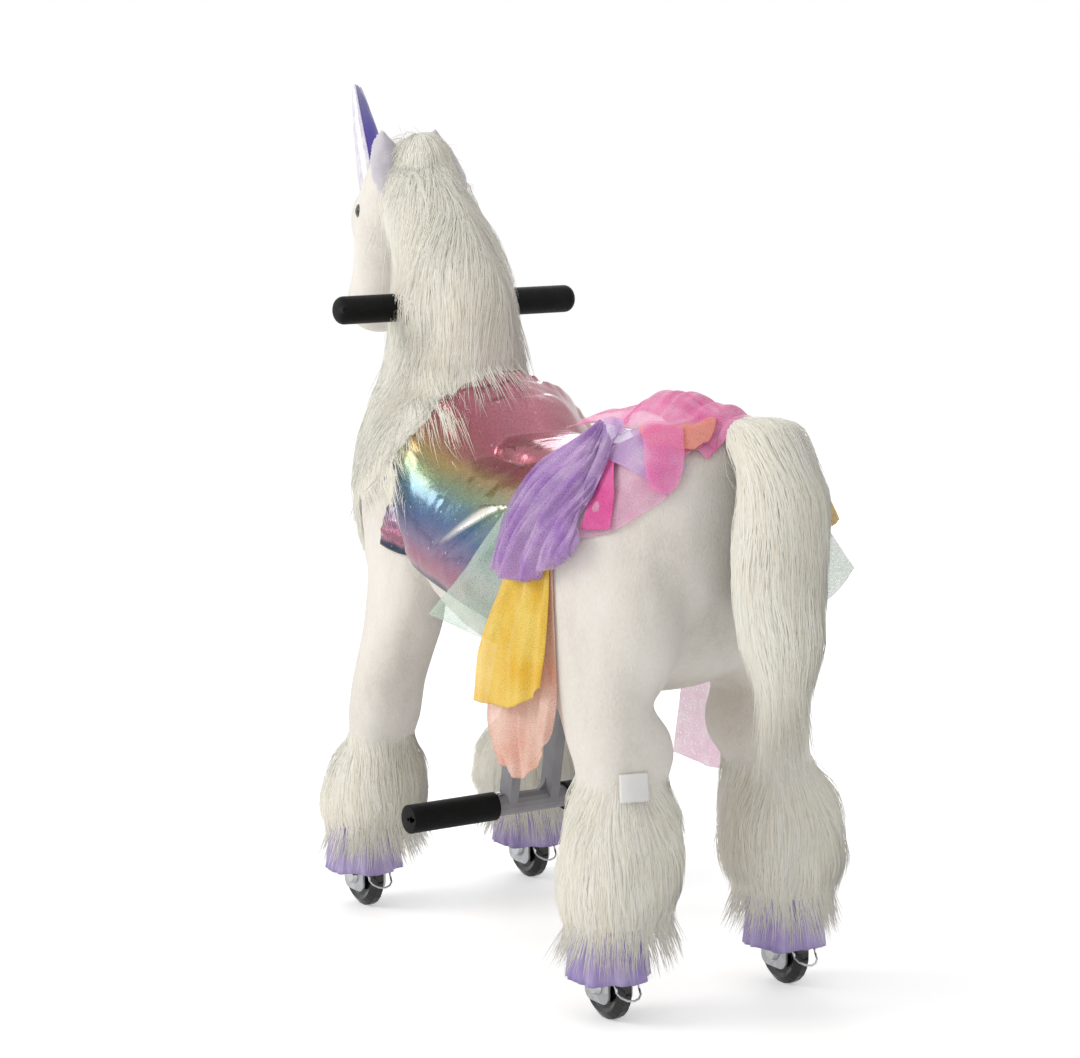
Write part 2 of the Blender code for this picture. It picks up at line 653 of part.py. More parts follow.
def front_trim():
    """Everything ahead of the saddle's sloping front edge."""
    back = POST_Y - OVERRUN / 5
    outline = [(back - 0.3 * TORSO_LENGTH, TORSO_BELLY_HEIGHT - OVERRUN),
               (back, TORSO_BELLY_HEIGHT - OVERRUN), (back, TRIM_SLOPE_BOTTOM_HEIGHT),
               (POST_Y + TRIM_SLOPE_TOP_BEHIND_POST, TRIM_SLOPE_TOP_HEIGHT),
               (back - 0.3 * TORSO_LENGTH, TRIM_SLOPE_TOP_HEIGHT)]
    return prism_x("front trim", outline, -TORSO_HALF_WIDTH - OVERRUN,
                   TORSO_HALF_WIDTH + OVERRUN)


def hip_socket(side):
    """Round socket of one thigh, open below for the leg's swing."""
    reach = HIP_DISC_RADIUS + MOVING_GAP / 3
    drop = HIP_HEIGHT - TORSO_BELLY_HEIGHT + OVERRUN
    spread = drop * math.tan(math.radians(LEG_SWING))
    outline = arc((HIP_Y, HIP_HEIGHT), around(reach, 32), 0, 180, 16)
    outline += [(HIP_Y - reach, HIP_HEIGHT - drop), (HIP_Y + reach + spread, HIP_HEIGHT - drop)]
    low, high = HIP_INNER_X - LEG_INNER_GAP, HIP_OUTER_X + OVERRUN
    return prism_x("hip socket", outline, *((low, high) if side > 0 else (-high, -low)))


def cavity():
    """Room inside the torso for the seat beam, the cranks and the drag link."""
    front, rear = POST_Y, HIP_Y + BEAM_REAR_OVERHANG + OVERRUN / 2
    bend = FOOT_PIVOT_Y + 2 * LUG_RADIUS
    outline = [(front, CAVITY_FLOOR_HEIGHT), (bend, CAVITY_FLOOR_HEIGHT),
               (rear, CAVITY_FLOOR_HEIGHT + CAVITY_REAR_RISE),
               (rear, SEAT_FOAM_TOP + SEAT_GAP), (front, SEAT_FOAM_TOP + SEAT_GAP)]
    return prism_x("cavity", outline, -CAVITY_HALF_WIDTH, CAVITY_HALF_WIDTH)


def foot_slot():
    """Slot in the belly for the two arms of the foot bar."""
    top_y = FOOT_BAR_Y + (TORSO_BELLY_HEIGHT - FOOT_BAR_Z) * math.tan(math.radians(FOOT_ARM_LEAN))
    front = top_y - 2.2 * FOOT_ARM_WIDTH
    rear = FOOT_PIVOT_Y + LUG_RADIUS + OVERRUN
    low, high = TORSO_BELLY_HEIGHT - OVERRUN, CAVITY_FLOOR_HEIGHT + OVERRUN
    outline = [(front, low), (rear, low), (rear, high), (front, high)]
    return prism_x("foot slot", outline, -FOOT_SLOT_HALF_WIDTH, FOOT_SLOT_HALF_WIDTH)


def torso_stations():
    """Places of the torso's rings; one lies under the saddle's rear edge."""
    stations = [TORSO_FRONT_Y + share * TORSO_LENGTH for share, *_ in TORSO_STATION_SHARES]
    edge = HIP_Y - SADDLE_REAR_AHEAD_OF_HIP
    return sorted([y for y in stations if abs(y - edge) > OVERRUN / 2] + [edge])


def make_torso():
    rings = []
    for y in torso_stations():
        rings.append([section_point(y, 360 * (k + 0.5) / TORSO_POINTS)
                      for k in range(TORSO_POINTS)])
    tip = (0, TORSO_FRONT_Y + TORSO_LENGTH, TORSO_BELLY_HEIGHT + TORSO_END_SHARE * TORSO_HEIGHT)
    torso = loft("torso", rings, None, tip)
    cut(torso, front_trim(), steering_cutter(MOVING_GAP), hip_socket(1), hip_socket(-1),
        cavity(), foot_slot(), shaft_hole())
    return tidy(torso, "torso_plush", "white_plush", 50)


def shaft_hole():
    """Passage of the hip shaft out of the cavity into the two thighs."""
    reach = HIP_INNER_X + OVERRUN
    return rod("shaft hole", (-reach, HIP_Y, HIP_HEIGHT), (reach, HIP_Y, HIP_HEIGHT),
               LEG_SHAFT_RADIUS + MOVING_GAP)


def cloth(name, stations, row_of):
    """A closed sheet: row_of(y, outer) gives one row of points of its inner or outer face."""
    inner = [row_of(y, False) for y in stations]
    outer = [row_of(y, True) for y in stations]
    rings = [a + b[::-1] for a, b in zip(inner, outer)]
    return loft(name, rings)


def saddle_row(y, outer):
    """From the left hem over the back to the right hem."""
    grow = SADDLE_GAP + (SADDLE_CLOTH if outer else 0)
    front, rear = POST_Y, HIP_Y - SADDLE_REAR_AHEAD_OF_HIP
    part = min(1.0, max(0.0, (y - front) / (rear - front)))
    hem = SADDLE_HEM_FRONT_HEIGHT + (SADDLE_HEM_REAR_HEIGHT - SADDLE_HEM_FRONT_HEIGHT) * part
    half, belly, top, _ = torso_section(y)
    middle = (belly + top) / 2
    angles = [360 * (k + 0.5) / TORSO_POINTS for k in range(TORSO_POINTS // 2)]
    row = [section_point(y, a, grow, grow) for a in angles]
    lip = half + grow
    left = [(lip, y, hem), (lip, y, (hem + middle) / 2)]
    right = [(-lip, y, (hem + middle) / 2), (-lip, y, hem)]
    return left + row + right


def make_saddle():
    rear = HIP_Y - SADDLE_REAR_AHEAD_OF_HIP
    stations = [y for y in torso_stations() if y < rear + OVERRUN / 4]
    saddle = cloth("saddle", stations, saddle_row)
    cut(saddle, front_trim(), steering_cutter(MOVING_GAP))
    return tidy(saddle, "saddle", "rainbow_foil", 50)


def drape_grid(y):
    """The fold grid's two lines round y, and how far y lies between them."""
    step = TULLE_FOLD_PITCH / 4
    line = math.floor((y - HIP_Y) / step)
    part = (y - HIP_Y) / step - line
    return HIP_Y + line * step, HIP_Y + (line + 1) * step, part


def on_grid(y, value):
    """A value read at the grid's lines and drawn straight between them."""
    low, high, part = drape_grid(y)
    return tuple(a + (b - a) * part for a, b in zip(value(low), value(high)))


def fold(y):
    """Depth of the fold wave and the body's section, at a line across the back."""
    wave = (1 + math.sin(2 * math.pi * (y - HIP_Y) / TULLE_FOLD_PITCH)) / 2
    return (wave * TULLE_FOLD_DEPTH, *torso_section(y))


def tulle_row(y, outer, layer, left_hem, right_hem, angles):
    """One strip's row: it hangs plumb from the hips, with folds that grow downwards."""
    step = layer * (TULLE_CLOTH + TULLE_LAYER_GAP) + (TULLE_CLOTH if outer else 0)
    wave, half, belly, top, fullness = on_grid(y, fold)
    middle, tall = (belly + top) / 2, (top - belly) / 2 + TULLE_RISE + step
    widest = between(TORSO_STATION_SHARES, TULLE_NARROWS_SHARE)[0] * TORSO_HALF_WIDTH
    full = TULLE_HALF_WIDTH * min(1.0, half / widest) + step
    power = 2 / fullness
    row = []
    for hem, side in ((left_hem, 1), (right_hem, -1)):
        start = math.degrees(math.asin(max(0.0, (hem - middle) / tall) ** (1 / power)))
        flat = full * math.cos(math.radians(start)) ** power
        low = min(1.0, max(0.0, middle - hem) / TULLE_FOLD_REACH)
        points = [(side * (flat + wave * low), y, hem)]
        if 0 in angles:
            points.append((side * (full + wave * low / 2), y, (hem + middle) / 2))
        for angle in angles:
            turn = math.radians(max(angle, start))
            c, rise = math.cos(turn), math.sin(turn)
            points.append((side * full * c ** power, y, middle + tall * rise ** power))
        row += points if side > 0 else points[::-1]
        if side > 0:
            row.append((0, y, middle + tall))
    return row


def make_tulle(name, layer, front, rear, hems, angles):
    """hems: (y, left hem height, right hem height), from front to rear."""
    grid = TULLE_FOLD_PITCH / 4
    stations = [front]
    line = HIP_Y + grid * math.ceil((front - HIP_Y) / grid)
    while line < rear - grid / 4:
        if line > front + grid / 4:
            stations.append(line)
        line += grid
    stations.append(rear)
    table = [((y - front) / (rear - front), left, right) for y, left, right in hems]

    def row(y, outer):
        left, right = between(table, (y - front) / (rear - front))
        return tulle_row(y, outer, layer, left, right, angles)
    return tidy(cloth(name, stations, row), name, name, 60)


# Tulle strips: front and rear edge from the hip, hem heights along the strip
MINT_FRONT = 0.2200
MINT_REAR = 0.1150
MINT_HEM_BELOW_HIP = 0.0750
YELLOW_FRONT = 0.1360
YELLOW_REAR = 0.0450
YELLOW_HEM_BELOW_HIP = 0.1370
PEACH_FRONT = 0.1030
PEACH_REAR = 0.0350
PEACH_HEM_BELOW_HIP = 0.2070
PURPLE_FRONT = 0.1150
PURPLE_REAR = 0.0450
PURPLE_HEM_BELOW_HIP = 0.0270
PINK_FRONT = 0.0300
PINK_REAR = 0.0950
PINK_HEM_ABOVE_HIP = 0.0380
HEM_SLANT = 0.0300
MINT_HEM = HIP_HEIGHT - MINT_HEM_BELOW_HIP
YELLOW_HEM = HIP_HEIGHT - YELLOW_HEM_BELOW_HIP
PEACH_HEM = HIP_HEIGHT - PEACH_HEM_BELOW_HIP
PURPLE_HEM = HIP_HEIGHT - PURPLE_HEM_BELOW_HIP
PINK_HEM = HIP_HEIGHT + PINK_HEM_ABOVE_HIP


def make_tulles():
    full, short = FULL_DRAPE_ANGLES, SHORT_DRAPE_ANGLES
    front, rear = HIP_Y - MINT_FRONT, HIP_Y - MINT_REAR
    hems = [(front, MINT_HEM, MINT_HEM + HEM_SLANT), (rear, MINT_HEM, MINT_HEM)]
    made = [make_tulle("tulle_mint", 0, front, rear, hems, full)]
    front, rear = HIP_Y - PEACH_FRONT, HIP_Y - PEACH_REAR
    hems = [(front, PEACH_HEM + HEM_SLANT / 2, PEACH_HEM + 4 * HEM_SLANT),
            (rear, PEACH_HEM, PEACH_HEM + 4 * HEM_SLANT)]
    made.append(make_tulle("tulle_peach", 1, front, rear, hems, full))
    front, rear = HIP_Y - YELLOW_FRONT, HIP_Y - YELLOW_REAR
    hems = [(front, YELLOW_HEM, YELLOW_HEM + 2 * HEM_SLANT),
            (rear, YELLOW_HEM + HEM_SLANT / 2, YELLOW_HEM + HEM_SLANT)]
    made.append(make_tulle("tulle_yellow", 2, front, rear, hems, full))
    front, rear = HIP_Y - PURPLE_FRONT, HIP_Y + PURPLE_REAR
    hems = [(front, PURPLE_HEM, PURPLE_HEM), (rear, PURPLE_HEM + HEM_SLANT, PURPLE_HEM)]
    made.append(make_tulle("tulle_purple", 3, front, rear, hems, full))
    front, rear = HIP_Y - PINK_FRONT, HIP_Y + PINK_REAR
    hems = [(front, PINK_HEM, PINK_HEM), (rear, PINK_HEM + HEM_SLANT, PINK_HEM + HEM_SLANT)]
    made.append(make_tulle("tulle_pink", 4, front, rear, hems, short))
    return made


# Seat beam and seat

def plate_outline():
    """Side plate of the seat beam with its lugs down to the hip and the foot pivot."""
    top, low = BEAM_TOP_HEIGHT, BEAM_TOP_HEIGHT - BEAM_DEPTH
    rear = HIP_Y + BEAM_REAR_OVERHANG
    front = POST_Y + BEAM_FRONT_OVERHANG
    hip = (HIP_Y, HIP_HEIGHT)
    foot = (FOOT_PIVOT_Y, FOOT_PIVOT_Z)
    outline = [(front, low), (front, top), (rear, top), (rear, low)]
    outline += arc(hip, LUG_RADIUS, 10, -100, 6)
    outline += arc(foot, LUG_RADIUS, -40, -200, 8)
    outline += [(foot[0] - 2 * LUG_RADIUS, low)]
    return outline


def make_seat_beam():
    inner, outer = BEAM_HALF_WIDTH - BEAM_PLATE, BEAM_HALF_WIDTH
    beam = prism_x("beam", plate_outline(), inner, outer)
    right = prism_x("right plate", plate_outline(), -outer, -inner)
    tube_top = BEAM_TOP_HEIGHT + YOKE_PLATE
    tube_low = tube_top - HEAD_TUBE_HEIGHT
    tube_low = max(tube_low, POST_FORK_TOP + 2 * SEAT_GAP + BUSH_FLANGE)
    tube = turned_z("head tube", [(tube_low, HEAD_TUBE_RADIUS), (BEAM_TOP_HEIGHT, HEAD_TUBE_RADIUS)],
                    (0, POST_Y, 0), POST_SIDES)
    rear = POST_Y + BEAM_FRONT_OVERHANG + 3 * OVERRUN
    yokes = []
    for high in (BEAM_TOP_HEIGHT, tube_low + 3 * YOKE_PLATE):
        half = BEAM_HALF_WIDTH - BEAM_PLATE / 2
        outline = [(half, rear), (half, rear - 4 * OVERRUN), (HEAD_TUBE_RADIUS * 0.8, POST_Y),
                   (-HEAD_TUBE_RADIUS * 0.8, POST_Y), (-half, rear - 4 * OVERRUN), (-half, rear)]
        yokes.append(prism_z("yoke", outline, high - YOKE_PLATE, high))
    ties = [rod("tie", (-inner - BEAM_PLATE / 2, y, BEAM_TOP_HEIGHT - BEAM_DEPTH / 2),
                (inner + BEAM_PLATE / 2, y, BEAM_TOP_HEIGHT - BEAM_DEPTH / 2), CROSS_TUBE_RADIUS)
            for y in ((HIP_Y + BEAM_REAR_OVERHANG - 2 * CROSS_TUBE_RADIUS),
                      FOOT_PIVOT_Y - 3 * LUG_RADIUS)]
    join(beam, right, tube, *yokes, *ties)
    reach = BEAM_HALF_WIDTH + OVERRUN
    bore = around(LEG_SHAFT_RADIUS + RUNNING_GAP, TUBE_SIDES)
    cut(beam,
        turned_z("post bore", [(tube_low - OVERRUN, BUSH_OUTER + SEAT_GAP),
                               (BEAM_TOP_HEIGHT + OVERRUN, BUSH_OUTER + SEAT_GAP)],
                 (0, POST_Y, 0), POST_SIDES),
        rod("hip bore", (-reach, HIP_Y, HIP_HEIGHT), (reach, HIP_Y, HIP_HEIGHT), bore),
        rod("foot bore", (-reach, FOOT_PIVOT_Y, FOOT_PIVOT_Z),
            (reach, FOOT_PIVOT_Y, FOOT_PIVOT_Z), bore))
    tidy(beam, "seat_beam", "grey_paint")

    bush_in = around(POST_RADIUS + RUNNING_GAP, POST_SIDES)
    flange = HEAD_TUBE_RADIUS - BUSH_WALL / 2
    bottom = tube_low - SEAT_GAP - BUSH_FLANGE
    profile = [(bottom, bush_in), (bottom, flange), (bottom + BUSH_FLANGE, flange),
               (bottom + BUSH_FLANGE, BUSH_OUTER), (BEAM_TOP_HEIGHT, BUSH_OUTER),
               (BEAM_TOP_HEIGHT, bush_in)]
    bush = turned_z("bush", profile, (0, POST_Y, 0), POST_SIDES, hollow=True)
    return [beam, tidy(bush, "steering_bush", "bronze")]


BUSH_OUTER = POST_RADIUS + RUNNING_GAP + BUSH_WALL
CRANK_TOP_Z = SHOULDER_PIN_Z + max(CRANK_PIN_EYE_RADIUS, LINK_HALF_WIDTH)
POST_FORK_TOP = CRANK_TOP_Z + POST_CROWN_GAP + POST_CROWN


def rounded_rectangle(low, high, radius, steps=4):
    (x0, y0), (x1, y1) = low, high
    outline = []
    for cx, cy, start in ((x1 - radius, y1 - radius, 0), (x0 + radius, y1 - radius, 90),
                          (x0 + radius, y0 + radius, 180), (x1 - radius, y0 + radius, 270)):
        outline += arc((cx, cy), radius, start, start + 90, steps)
    return outline


def make_seat():
    low = BEAM_TOP_HEIGHT + SEAT_GAP
    front, rear = HIP_Y - SEAT_FRONT_AHEAD_OF_HIP, HIP_Y + SEAT_REAR_BEHIND_HIP
    outline = rounded_rectangle((-SEAT_HALF_WIDTH, front), (SEAT_HALF_WIDTH, rear), SEAT_CORNER)
    board = prism_z("board", outline, low, low + SEAT_BOARD)
    bottom = low + SEAT_BOARD + SEAT_GAP
    crown = []
    for share, inset in ((0.0, 0.15), (0.25, 0.0), (0.75, 0.0), (1.0, 0.2)):
        edge = inset * SEAT_CORNER
        ring = rounded_rectangle((-SEAT_HALF_WIDTH + edge, front + edge),
                                 (SEAT_HALF_WIDTH - edge, rear - edge), SEAT_CORNER)
        crown.append([(x, y, bottom + share * SEAT_FOAM) for x, y in ring])
    foam = loft("foam", crown)
    return [tidy(board, "seat_board", "plywood"), tidy(foam, "seat_foam", "cream_foam")]


def make_spring():
    """Torsion spring round the hip shaft, one leg on the beam and one on the crank."""
    radius = LEG_SHAFT_RADIUS + SPRING_COIL_GAP + SPRING_WIRE_RADIUS
    inner = BEAM_HALF_WIDTH - BEAM_PLATE
    room = inner - CRANK_HALF_GAP - CRANK_PLATE
    middle = inner - room / 2
    pitch = 2.6 * SPRING_WIRE_RADIUS
    steps = 8
    path = []
    tail = 1.4 * radius
    start_x = middle - SPRING_TURNS * pitch / 2
    path.append((start_x, HIP_Y + radius, HIP_HEIGHT + tail))
    for k in range(SPRING_TURNS * steps + 1):
        angle = 2 * math.pi * k / steps
        path.append((start_x + pitch * k / steps, HIP_Y + radius * math.cos(angle),
                     HIP_HEIGHT - radius * math.sin(angle)))
    path.append((start_x + pitch * SPRING_TURNS, HIP_Y + radius, HIP_HEIGHT - tail))
    spring = swept("spring", path, [SPRING_WIRE_RADIUS] * len(path), 5)
    return tidy(spring, "torsion_spring", "spring_steel", 60)


# Leg frames, steering post, foot frame and drag link

def leg_line(front, side, height):
    """Middle of a leg's tube at a height."""
    axle_y = FRONT_AXLE_Y if front else REAR_AXLE_Y
    top_y, top_z = (POST_Y, SHOULDER_HEIGHT) if front else (HIP_Y, HIP_HEIGHT)
    part = (height - FORK_TOP_Z) / (top_z - FORK_TOP_Z)
    return (side * (AXLE_X - LEG_TUBE_INSET * part), axle_y + (top_y - axle_y) * part, height)


def leg_tubes(front, grow=0.0):
    """Two leg tubes on one cross shaft, grown by a clearance for the plush's bore."""
    top_y, top_z = (POST_Y, SHOULDER_HEIGHT) if front else (HIP_Y, HIP_HEIGHT)
    radius = LEG_TUBE_RADIUS + grow
    pieces = []
    for side in (1, -1):
        pieces.append(rod("leg tube", leg_line(front, side, FORK_TOP_Z - OVERRUN),
                          leg_line(front, side, top_z + LEG_TUBE_RADIUS + grow), radius))
    reach = leg_line(front, 1, top_z)[0] + grow
    shaft = rod("shaft", (-reach, top_y, top_z), (reach, top_y, top_z), LEG_SHAFT_RADIUS + grow)
    return shaft, pieces


def crank_outline(pivot, pin):
    """Waisted cheek from the shaft's boss to the pin's eye, in (y, z)."""
    way = math.degrees(math.atan2(pin[1] - pivot[1], pin[0] - pivot[0]))
    outline = arc(pivot, CRANK_EYE_RADIUS, way + 70, way + 290, 8)
    outline += arc(pin, CRANK_PIN_EYE_RADIUS, way - 80, way + 80, 6)
    return outline


def crank(pivot, pin):
    """Two cheeks and the pin across them."""
    low, high = CRANK_HALF_GAP, CRANK_HALF_GAP + CRANK_PLATE
    outline = crank_outline(pivot, pin)
    left = prism_x("cheek", outline, low, high)
    right = prism_x("cheek", outline, -high, -low)
    across = CRANK_HALF_GAP + CRANK_PLATE / 2
    bar = rod("pin", (-across, *pin), (across, *pin), CRANK_PIN_RADIUS)
    return [left, right, bar]


def make_leg_frame(front):
    shaft, tubes = leg_tubes(front)
    pivot = (POST_Y, SHOULDER_HEIGHT) if front else (HIP_Y, HIP_HEIGHT)
    pin = (pivot[0], SHOULDER_PIN_Z if front else HIP_PIN_Z)
    join(shaft, *tubes, *crank(pivot, pin))
    wide, deep = AXLE_X + 2 * LEG_TUBE_RADIUS, abs(FRONT_AXLE_Y) + REAR_AXLE_Y
    floor = [(-wide, -deep), (wide, -deep), (wide, deep), (-wide, deep)]
    cut(shaft, prism_z("below the fork", floor, 0, FORK_TOP_Z + SEAT_GAP))
    return tidy(shaft, "front_leg_frame" if front else "rear_leg_frame", "grey_paint")


def fork_cheek_outline():
    """Post's fork plate: from the crown down round the shoulder shaft."""
    outline = arc((POST_Y, SHOULDER_HEIGHT), CRANK_EYE_RADIUS, 180, 360, 10)
    top = POST_FORK_TOP - POST_CROWN / 2
    outline += [(POST_Y + 0.9 * POST_RADIUS, top), (POST_Y - 0.9 * POST_RADIUS, top)]
    return outline


def make_steering_post():
    outer, inner = POST_FORK_HALF_WIDTH, POST_FORK_HALF_WIDTH - POST_FORK_PLATE
    post = rod("post", (0, POST_Y, POST_FORK_TOP - POST_CROWN / 2),
               (0, POST_Y, BAR_HEIGHT + STEM_HALF_HEIGHT), POST_RADIUS, POST_SIDES)
    edge = outer - POST_FORK_PLATE / 4
    deep = POST_RADIUS + POST_CROWN / 5
    outline = rounded_rectangle((-edge, POST_Y - deep), (edge, POST_Y + deep), POST_CROWN)
    crown = prism_z("crown", outline, POST_FORK_TOP - POST_CROWN, POST_FORK_TOP)
    cheeks = [prism_x("cheek", fork_cheek_outline(), inner, outer),
              prism_x("cheek", fork_cheek_outline(), -outer, -inner)]
    stem = prism_x("stem", [(POST_Y, BAR_HEIGHT - STEM_HALF_HEIGHT),
                            (POST_Y, BAR_HEIGHT + STEM_HALF_HEIGHT)]
                   + arc((BAR_Y, BAR_HEIGHT), BAR_RADIUS + BUSH_WALL, 80, 280, 8),
                   -STEM_HALF_WIDTH, STEM_HALF_WIDTH)
    head = rod("head rod", (0, POST_Y - POST_RADIUS, BAR_HEIGHT + STEM_HALF_HEIGHT / 2),
               (0, POST_Y - HEAD_ROD_AHEAD, HEAD_ROD_HEIGHT), HEAD_ROD_RADIUS, 12)
    join(post, crown, *cheeks, stem, head)
    reach = POST_FORK_HALF_WIDTH + OVERRUN
    cut(post,
        rod("shoulder bore", (-reach, POST_Y, SHOULDER_HEIGHT), (reach, POST_Y, SHOULDER_HEIGHT),
            around(LEG_SHAFT_RADIUS + RUNNING_GAP, TUBE_SIDES)),
        rod("bar bore", (-reach, BAR_Y, BAR_HEIGHT), (reach, BAR_Y, BAR_HEIGHT),
            around(BAR_RADIUS + SEAT_GAP, TUBE_SIDES)))
    return tidy(post, "steering_post", "grey_paint")


def make_handlebar():
    half = BAR_HALF_LENGTH - GRIP_END_WALL - SEAT_GAP
    bar = rod("bar", (-half, BAR_Y, BAR_HEIGHT), (half, BAR_Y, BAR_HEIGHT), BAR_RADIUS)
    made = [tidy(bar, "handlebar", "bright_steel")]
    inner = BAR_HALF_LENGTH - GRIP_LENGTH
    bore = around(BAR_RADIUS + SEAT_GAP, TUBE_SIDES)
    for side, name in ((1, "left_handle_grip"), (-1, "right_handle_grip")):
        dome = [(BAR_HALF_LENGTH - GRIP_DOME * (1 - math.sin(math.radians(a))),
                 GRIP_RADIUS - GRIP_DOME * 0.8 * (1 - math.cos(math.radians(a))))
                for a in (0, 30, 60, 80)]
        profile = [(half + SEAT_GAP, bore), (inner, bore), (inner, GRIP_RADIUS)] + dome
        profile += [(BAR_HALF_LENGTH, 0.35 * GRIP_RADIUS)]
        rings = [[(side * x, BAR_Y + a, BAR_HEIGHT + b) for a, b in circle(r, TUBE_SIDES)]
                 for x, r in profile]
        grip = loft("grip", rings)
        made.append(tidy(grip, name, "grip_foam"))
    return made


def foot_arm_outline():
    """Dog-legged arm: foot bar, straight rise, bend to the pivot, and the pin's eye above it."""
    lean = math.radians(FOOT_ARM_LEAN)
    half = FOOT_ARM_WIDTH / 2
    bar, pivot = (FOOT_BAR_Y, FOOT_BAR_Z), (FOOT_PIVOT_Y, FOOT_PIVOT_Z)
    rise = FOOT_ARM_RISE
    up = (math.sin(lean), math.cos(lean))
    knee = (bar[0] + up[0] * rise, bar[1] + up[1] * rise)
    to_pivot = math.atan2(pivot[1] - knee[1], pivot[0] - knee[0])
    across = (-math.sin(to_pivot), math.cos(to_pivot))
    outline = [(bar[0] - up[1] * half, bar[1] + up[0] * half),
               (knee[0] - up[1] * half, knee[1] + up[0] * half),
               (knee[0] + across[0] * half - up[1] * half / 3,
                knee[1] + across[1] * half + half / 3)]
    outline += [(pivot[0] - CRANK_EYE_RADIUS, pivot[1] + across[1] * half)]
    pin = (pivot[0], FOOT_PIN_Z)
    outline += arc(pin, CRANK_PIN_EYE_RADIUS, 180, 0, 6)
    outline += arc(pivot, CRANK_EYE_RADIUS, 20, -90, 5)
    outline += [(knee[0] - across[0] * half + half, knee[1] - across[1] * half - half / 4),
                (knee[0] + up[1] * half, knee[1] - up[0] * half - FOOT_ARM_WIDTH / 2),
                (bar[0] + up[1] * half, bar[1] - up[0] * half)]
    return outline


def make_foot_frame():
    half = FOOT_BAR_HALF_LENGTH - GRIP_END_WALL - SEAT_GAP
    tube = rod("foot tube", (-half, FOOT_BAR_Y, FOOT_BAR_Z), (half, FOOT_BAR_Y, FOOT_BAR_Z),
               FOOT_TUBE_RADIUS)
    low = FOOT_ARM_MIDDLE_X - FOOT_ARM_THICKNESS / 2
    high = low + FOOT_ARM_THICKNESS
    arms = [prism_x("arm", foot_arm_outline(), low, high),
            prism_x("arm", foot_arm_outline(), -high, -low)]
    shaft = rod("shaft", (-BEAM_HALF_WIDTH, FOOT_PIVOT_Y, FOOT_PIVOT_Z),
                (BEAM_HALF_WIDTH, FOOT_PIVOT_Y, FOOT_PIVOT_Z), LEG_SHAFT_RADIUS)
    pin = rod("pin", (-high, FOOT_PIVOT_Y, FOOT_PIN_Z), (high, FOOT_PIVOT_Y, FOOT_PIN_Z),
              CRANK_PIN_RADIUS)
    join(tube, *arms, shaft, pin)
    for side in (1, -1):
        corner = (side * low, FOOT_BAR_Z + FOOT_TUBE_RADIUS)
        inward = -side * FOOT_GUSSET
        web = [corner, (corner[0] + inward, corner[1])]
        web += [(corner[0] + inward * (1 - math.sin(math.radians(a))),
                 corner[1] + FOOT_GUSSET * (1 - math.cos(math.radians(a)))) for a in (30, 60, 90)]
        sink = FOOT_TUBE_RADIUS / 3
        shape = [(x + side * sink, z - sink) for x, z in web[:1]]
        shape += [(web[1][0], web[1][1] - sink)] + web[2:]
        shape += [(web[-1][0] + side * sink, web[-1][1])]
        thick = FOOT_ARM_THICKNESS / 2
        gusset = loft("gusset", [[(x, y, z) for x, z in shape]
                                 for y in (FOOT_BAR_Y - thick / 2, FOOT_BAR_Y + thick / 2)])
        join(tube, gusset)
    made = [tidy(tube, "foot_frame", "grey_paint")]
    inner = FOOT_BAR_HALF_LENGTH - FOOT_GRIP_LENGTH
    bore = around(FOOT_TUBE_RADIUS + SEAT_GAP, TUBE_SIDES)
    hole = FOOT_TUBE_RADIUS / 4
    for side, name in ((1, "left_foot_grip"), (-1, "right_foot_grip")):
        profile = [(half + SEAT_GAP, bore), (inner, bore), (inner, FOOT_GRIP_RADIUS),
                   (FOOT_BAR_HALF_LENGTH - hole, FOOT_GRIP_RADIUS),
                   (FOOT_BAR_HALF_LENGTH, FOOT_GRIP_RADIUS - hole), (FOOT_BAR_HALF_LENGTH, hole),
                   (half + SEAT_GAP, hole)]
        rings = [[(side * x, FOOT_BAR_Y + a, FOOT_BAR_Z + b) for a, b in circle(r, TUBE_SIDES)]
                 for x, r in profile]
        made.append(tidy(ring_loft("grip", rings), name, "grip_foam"))
    base = FOOT_BAR_Z + FOOT_TUBE_RADIUS * math.cos(math.pi / TUBE_SIDES) + SEAT_GAP
    head = turned_z("screw", [(base, SCREW_HEAD_RADIUS),
                              (base + SCREW_HEAD_HEIGHT / 2, SCREW_HEAD_RADIUS),
                              (base + SCREW_HEAD_HEIGHT, SCREW_HEAD_RADIUS / 2)],
                    ((high + inner) / 2, FOOT_BAR_Y, 0), 10)
    made.append(tidy(head, "foot_bar_screw", "zinc_steel"))
    return made


def make_drag_link():
    """Flat bar from the hip pin to the shoulder pin, with play at the shoulder and foot pins."""
    hip, shoulder = (HIP_Y, HIP_PIN_Z), (POST_Y, SHOULDER_PIN_Z)
    way = math.degrees(math.atan2(shoulder[1] - hip[1], shoulder[0] - hip[0]))
    outline = arc(shoulder, LINK_HALF_WIDTH, way - 90, way + 90, 8)
    outline += arc(hip, LINK_HALF_WIDTH, way + 90, way + 270, 8)
    link = prism_x("link", outline, -LINK_HALF_THICKNESS, LINK_HALF_THICKNESS)
    reach = LINK_HALF_THICKNESS + OVERRUN
    play = around(CRANK_PIN_RADIUS + LINK_SLACK, TUBE_SIDES)
    tight = around(CRANK_PIN_RADIUS + LINK_PIN_GAP, TUBE_SIDES)
    cut(link,
        rod("hole", (-reach, *hip), (reach, *hip), tight),
        rod("hole", (-reach, *shoulder), (reach, *shoulder), play),
        rod("hole", (-reach, FOOT_PIVOT_Y, FOOT_PIN_Z), (reach, FOOT_PIVOT_Y, FOOT_PIN_Z), play))
    return tidy(link, "drag_link", "zinc_steel")


# Wheels, forks, axles, wire guards and cuffs

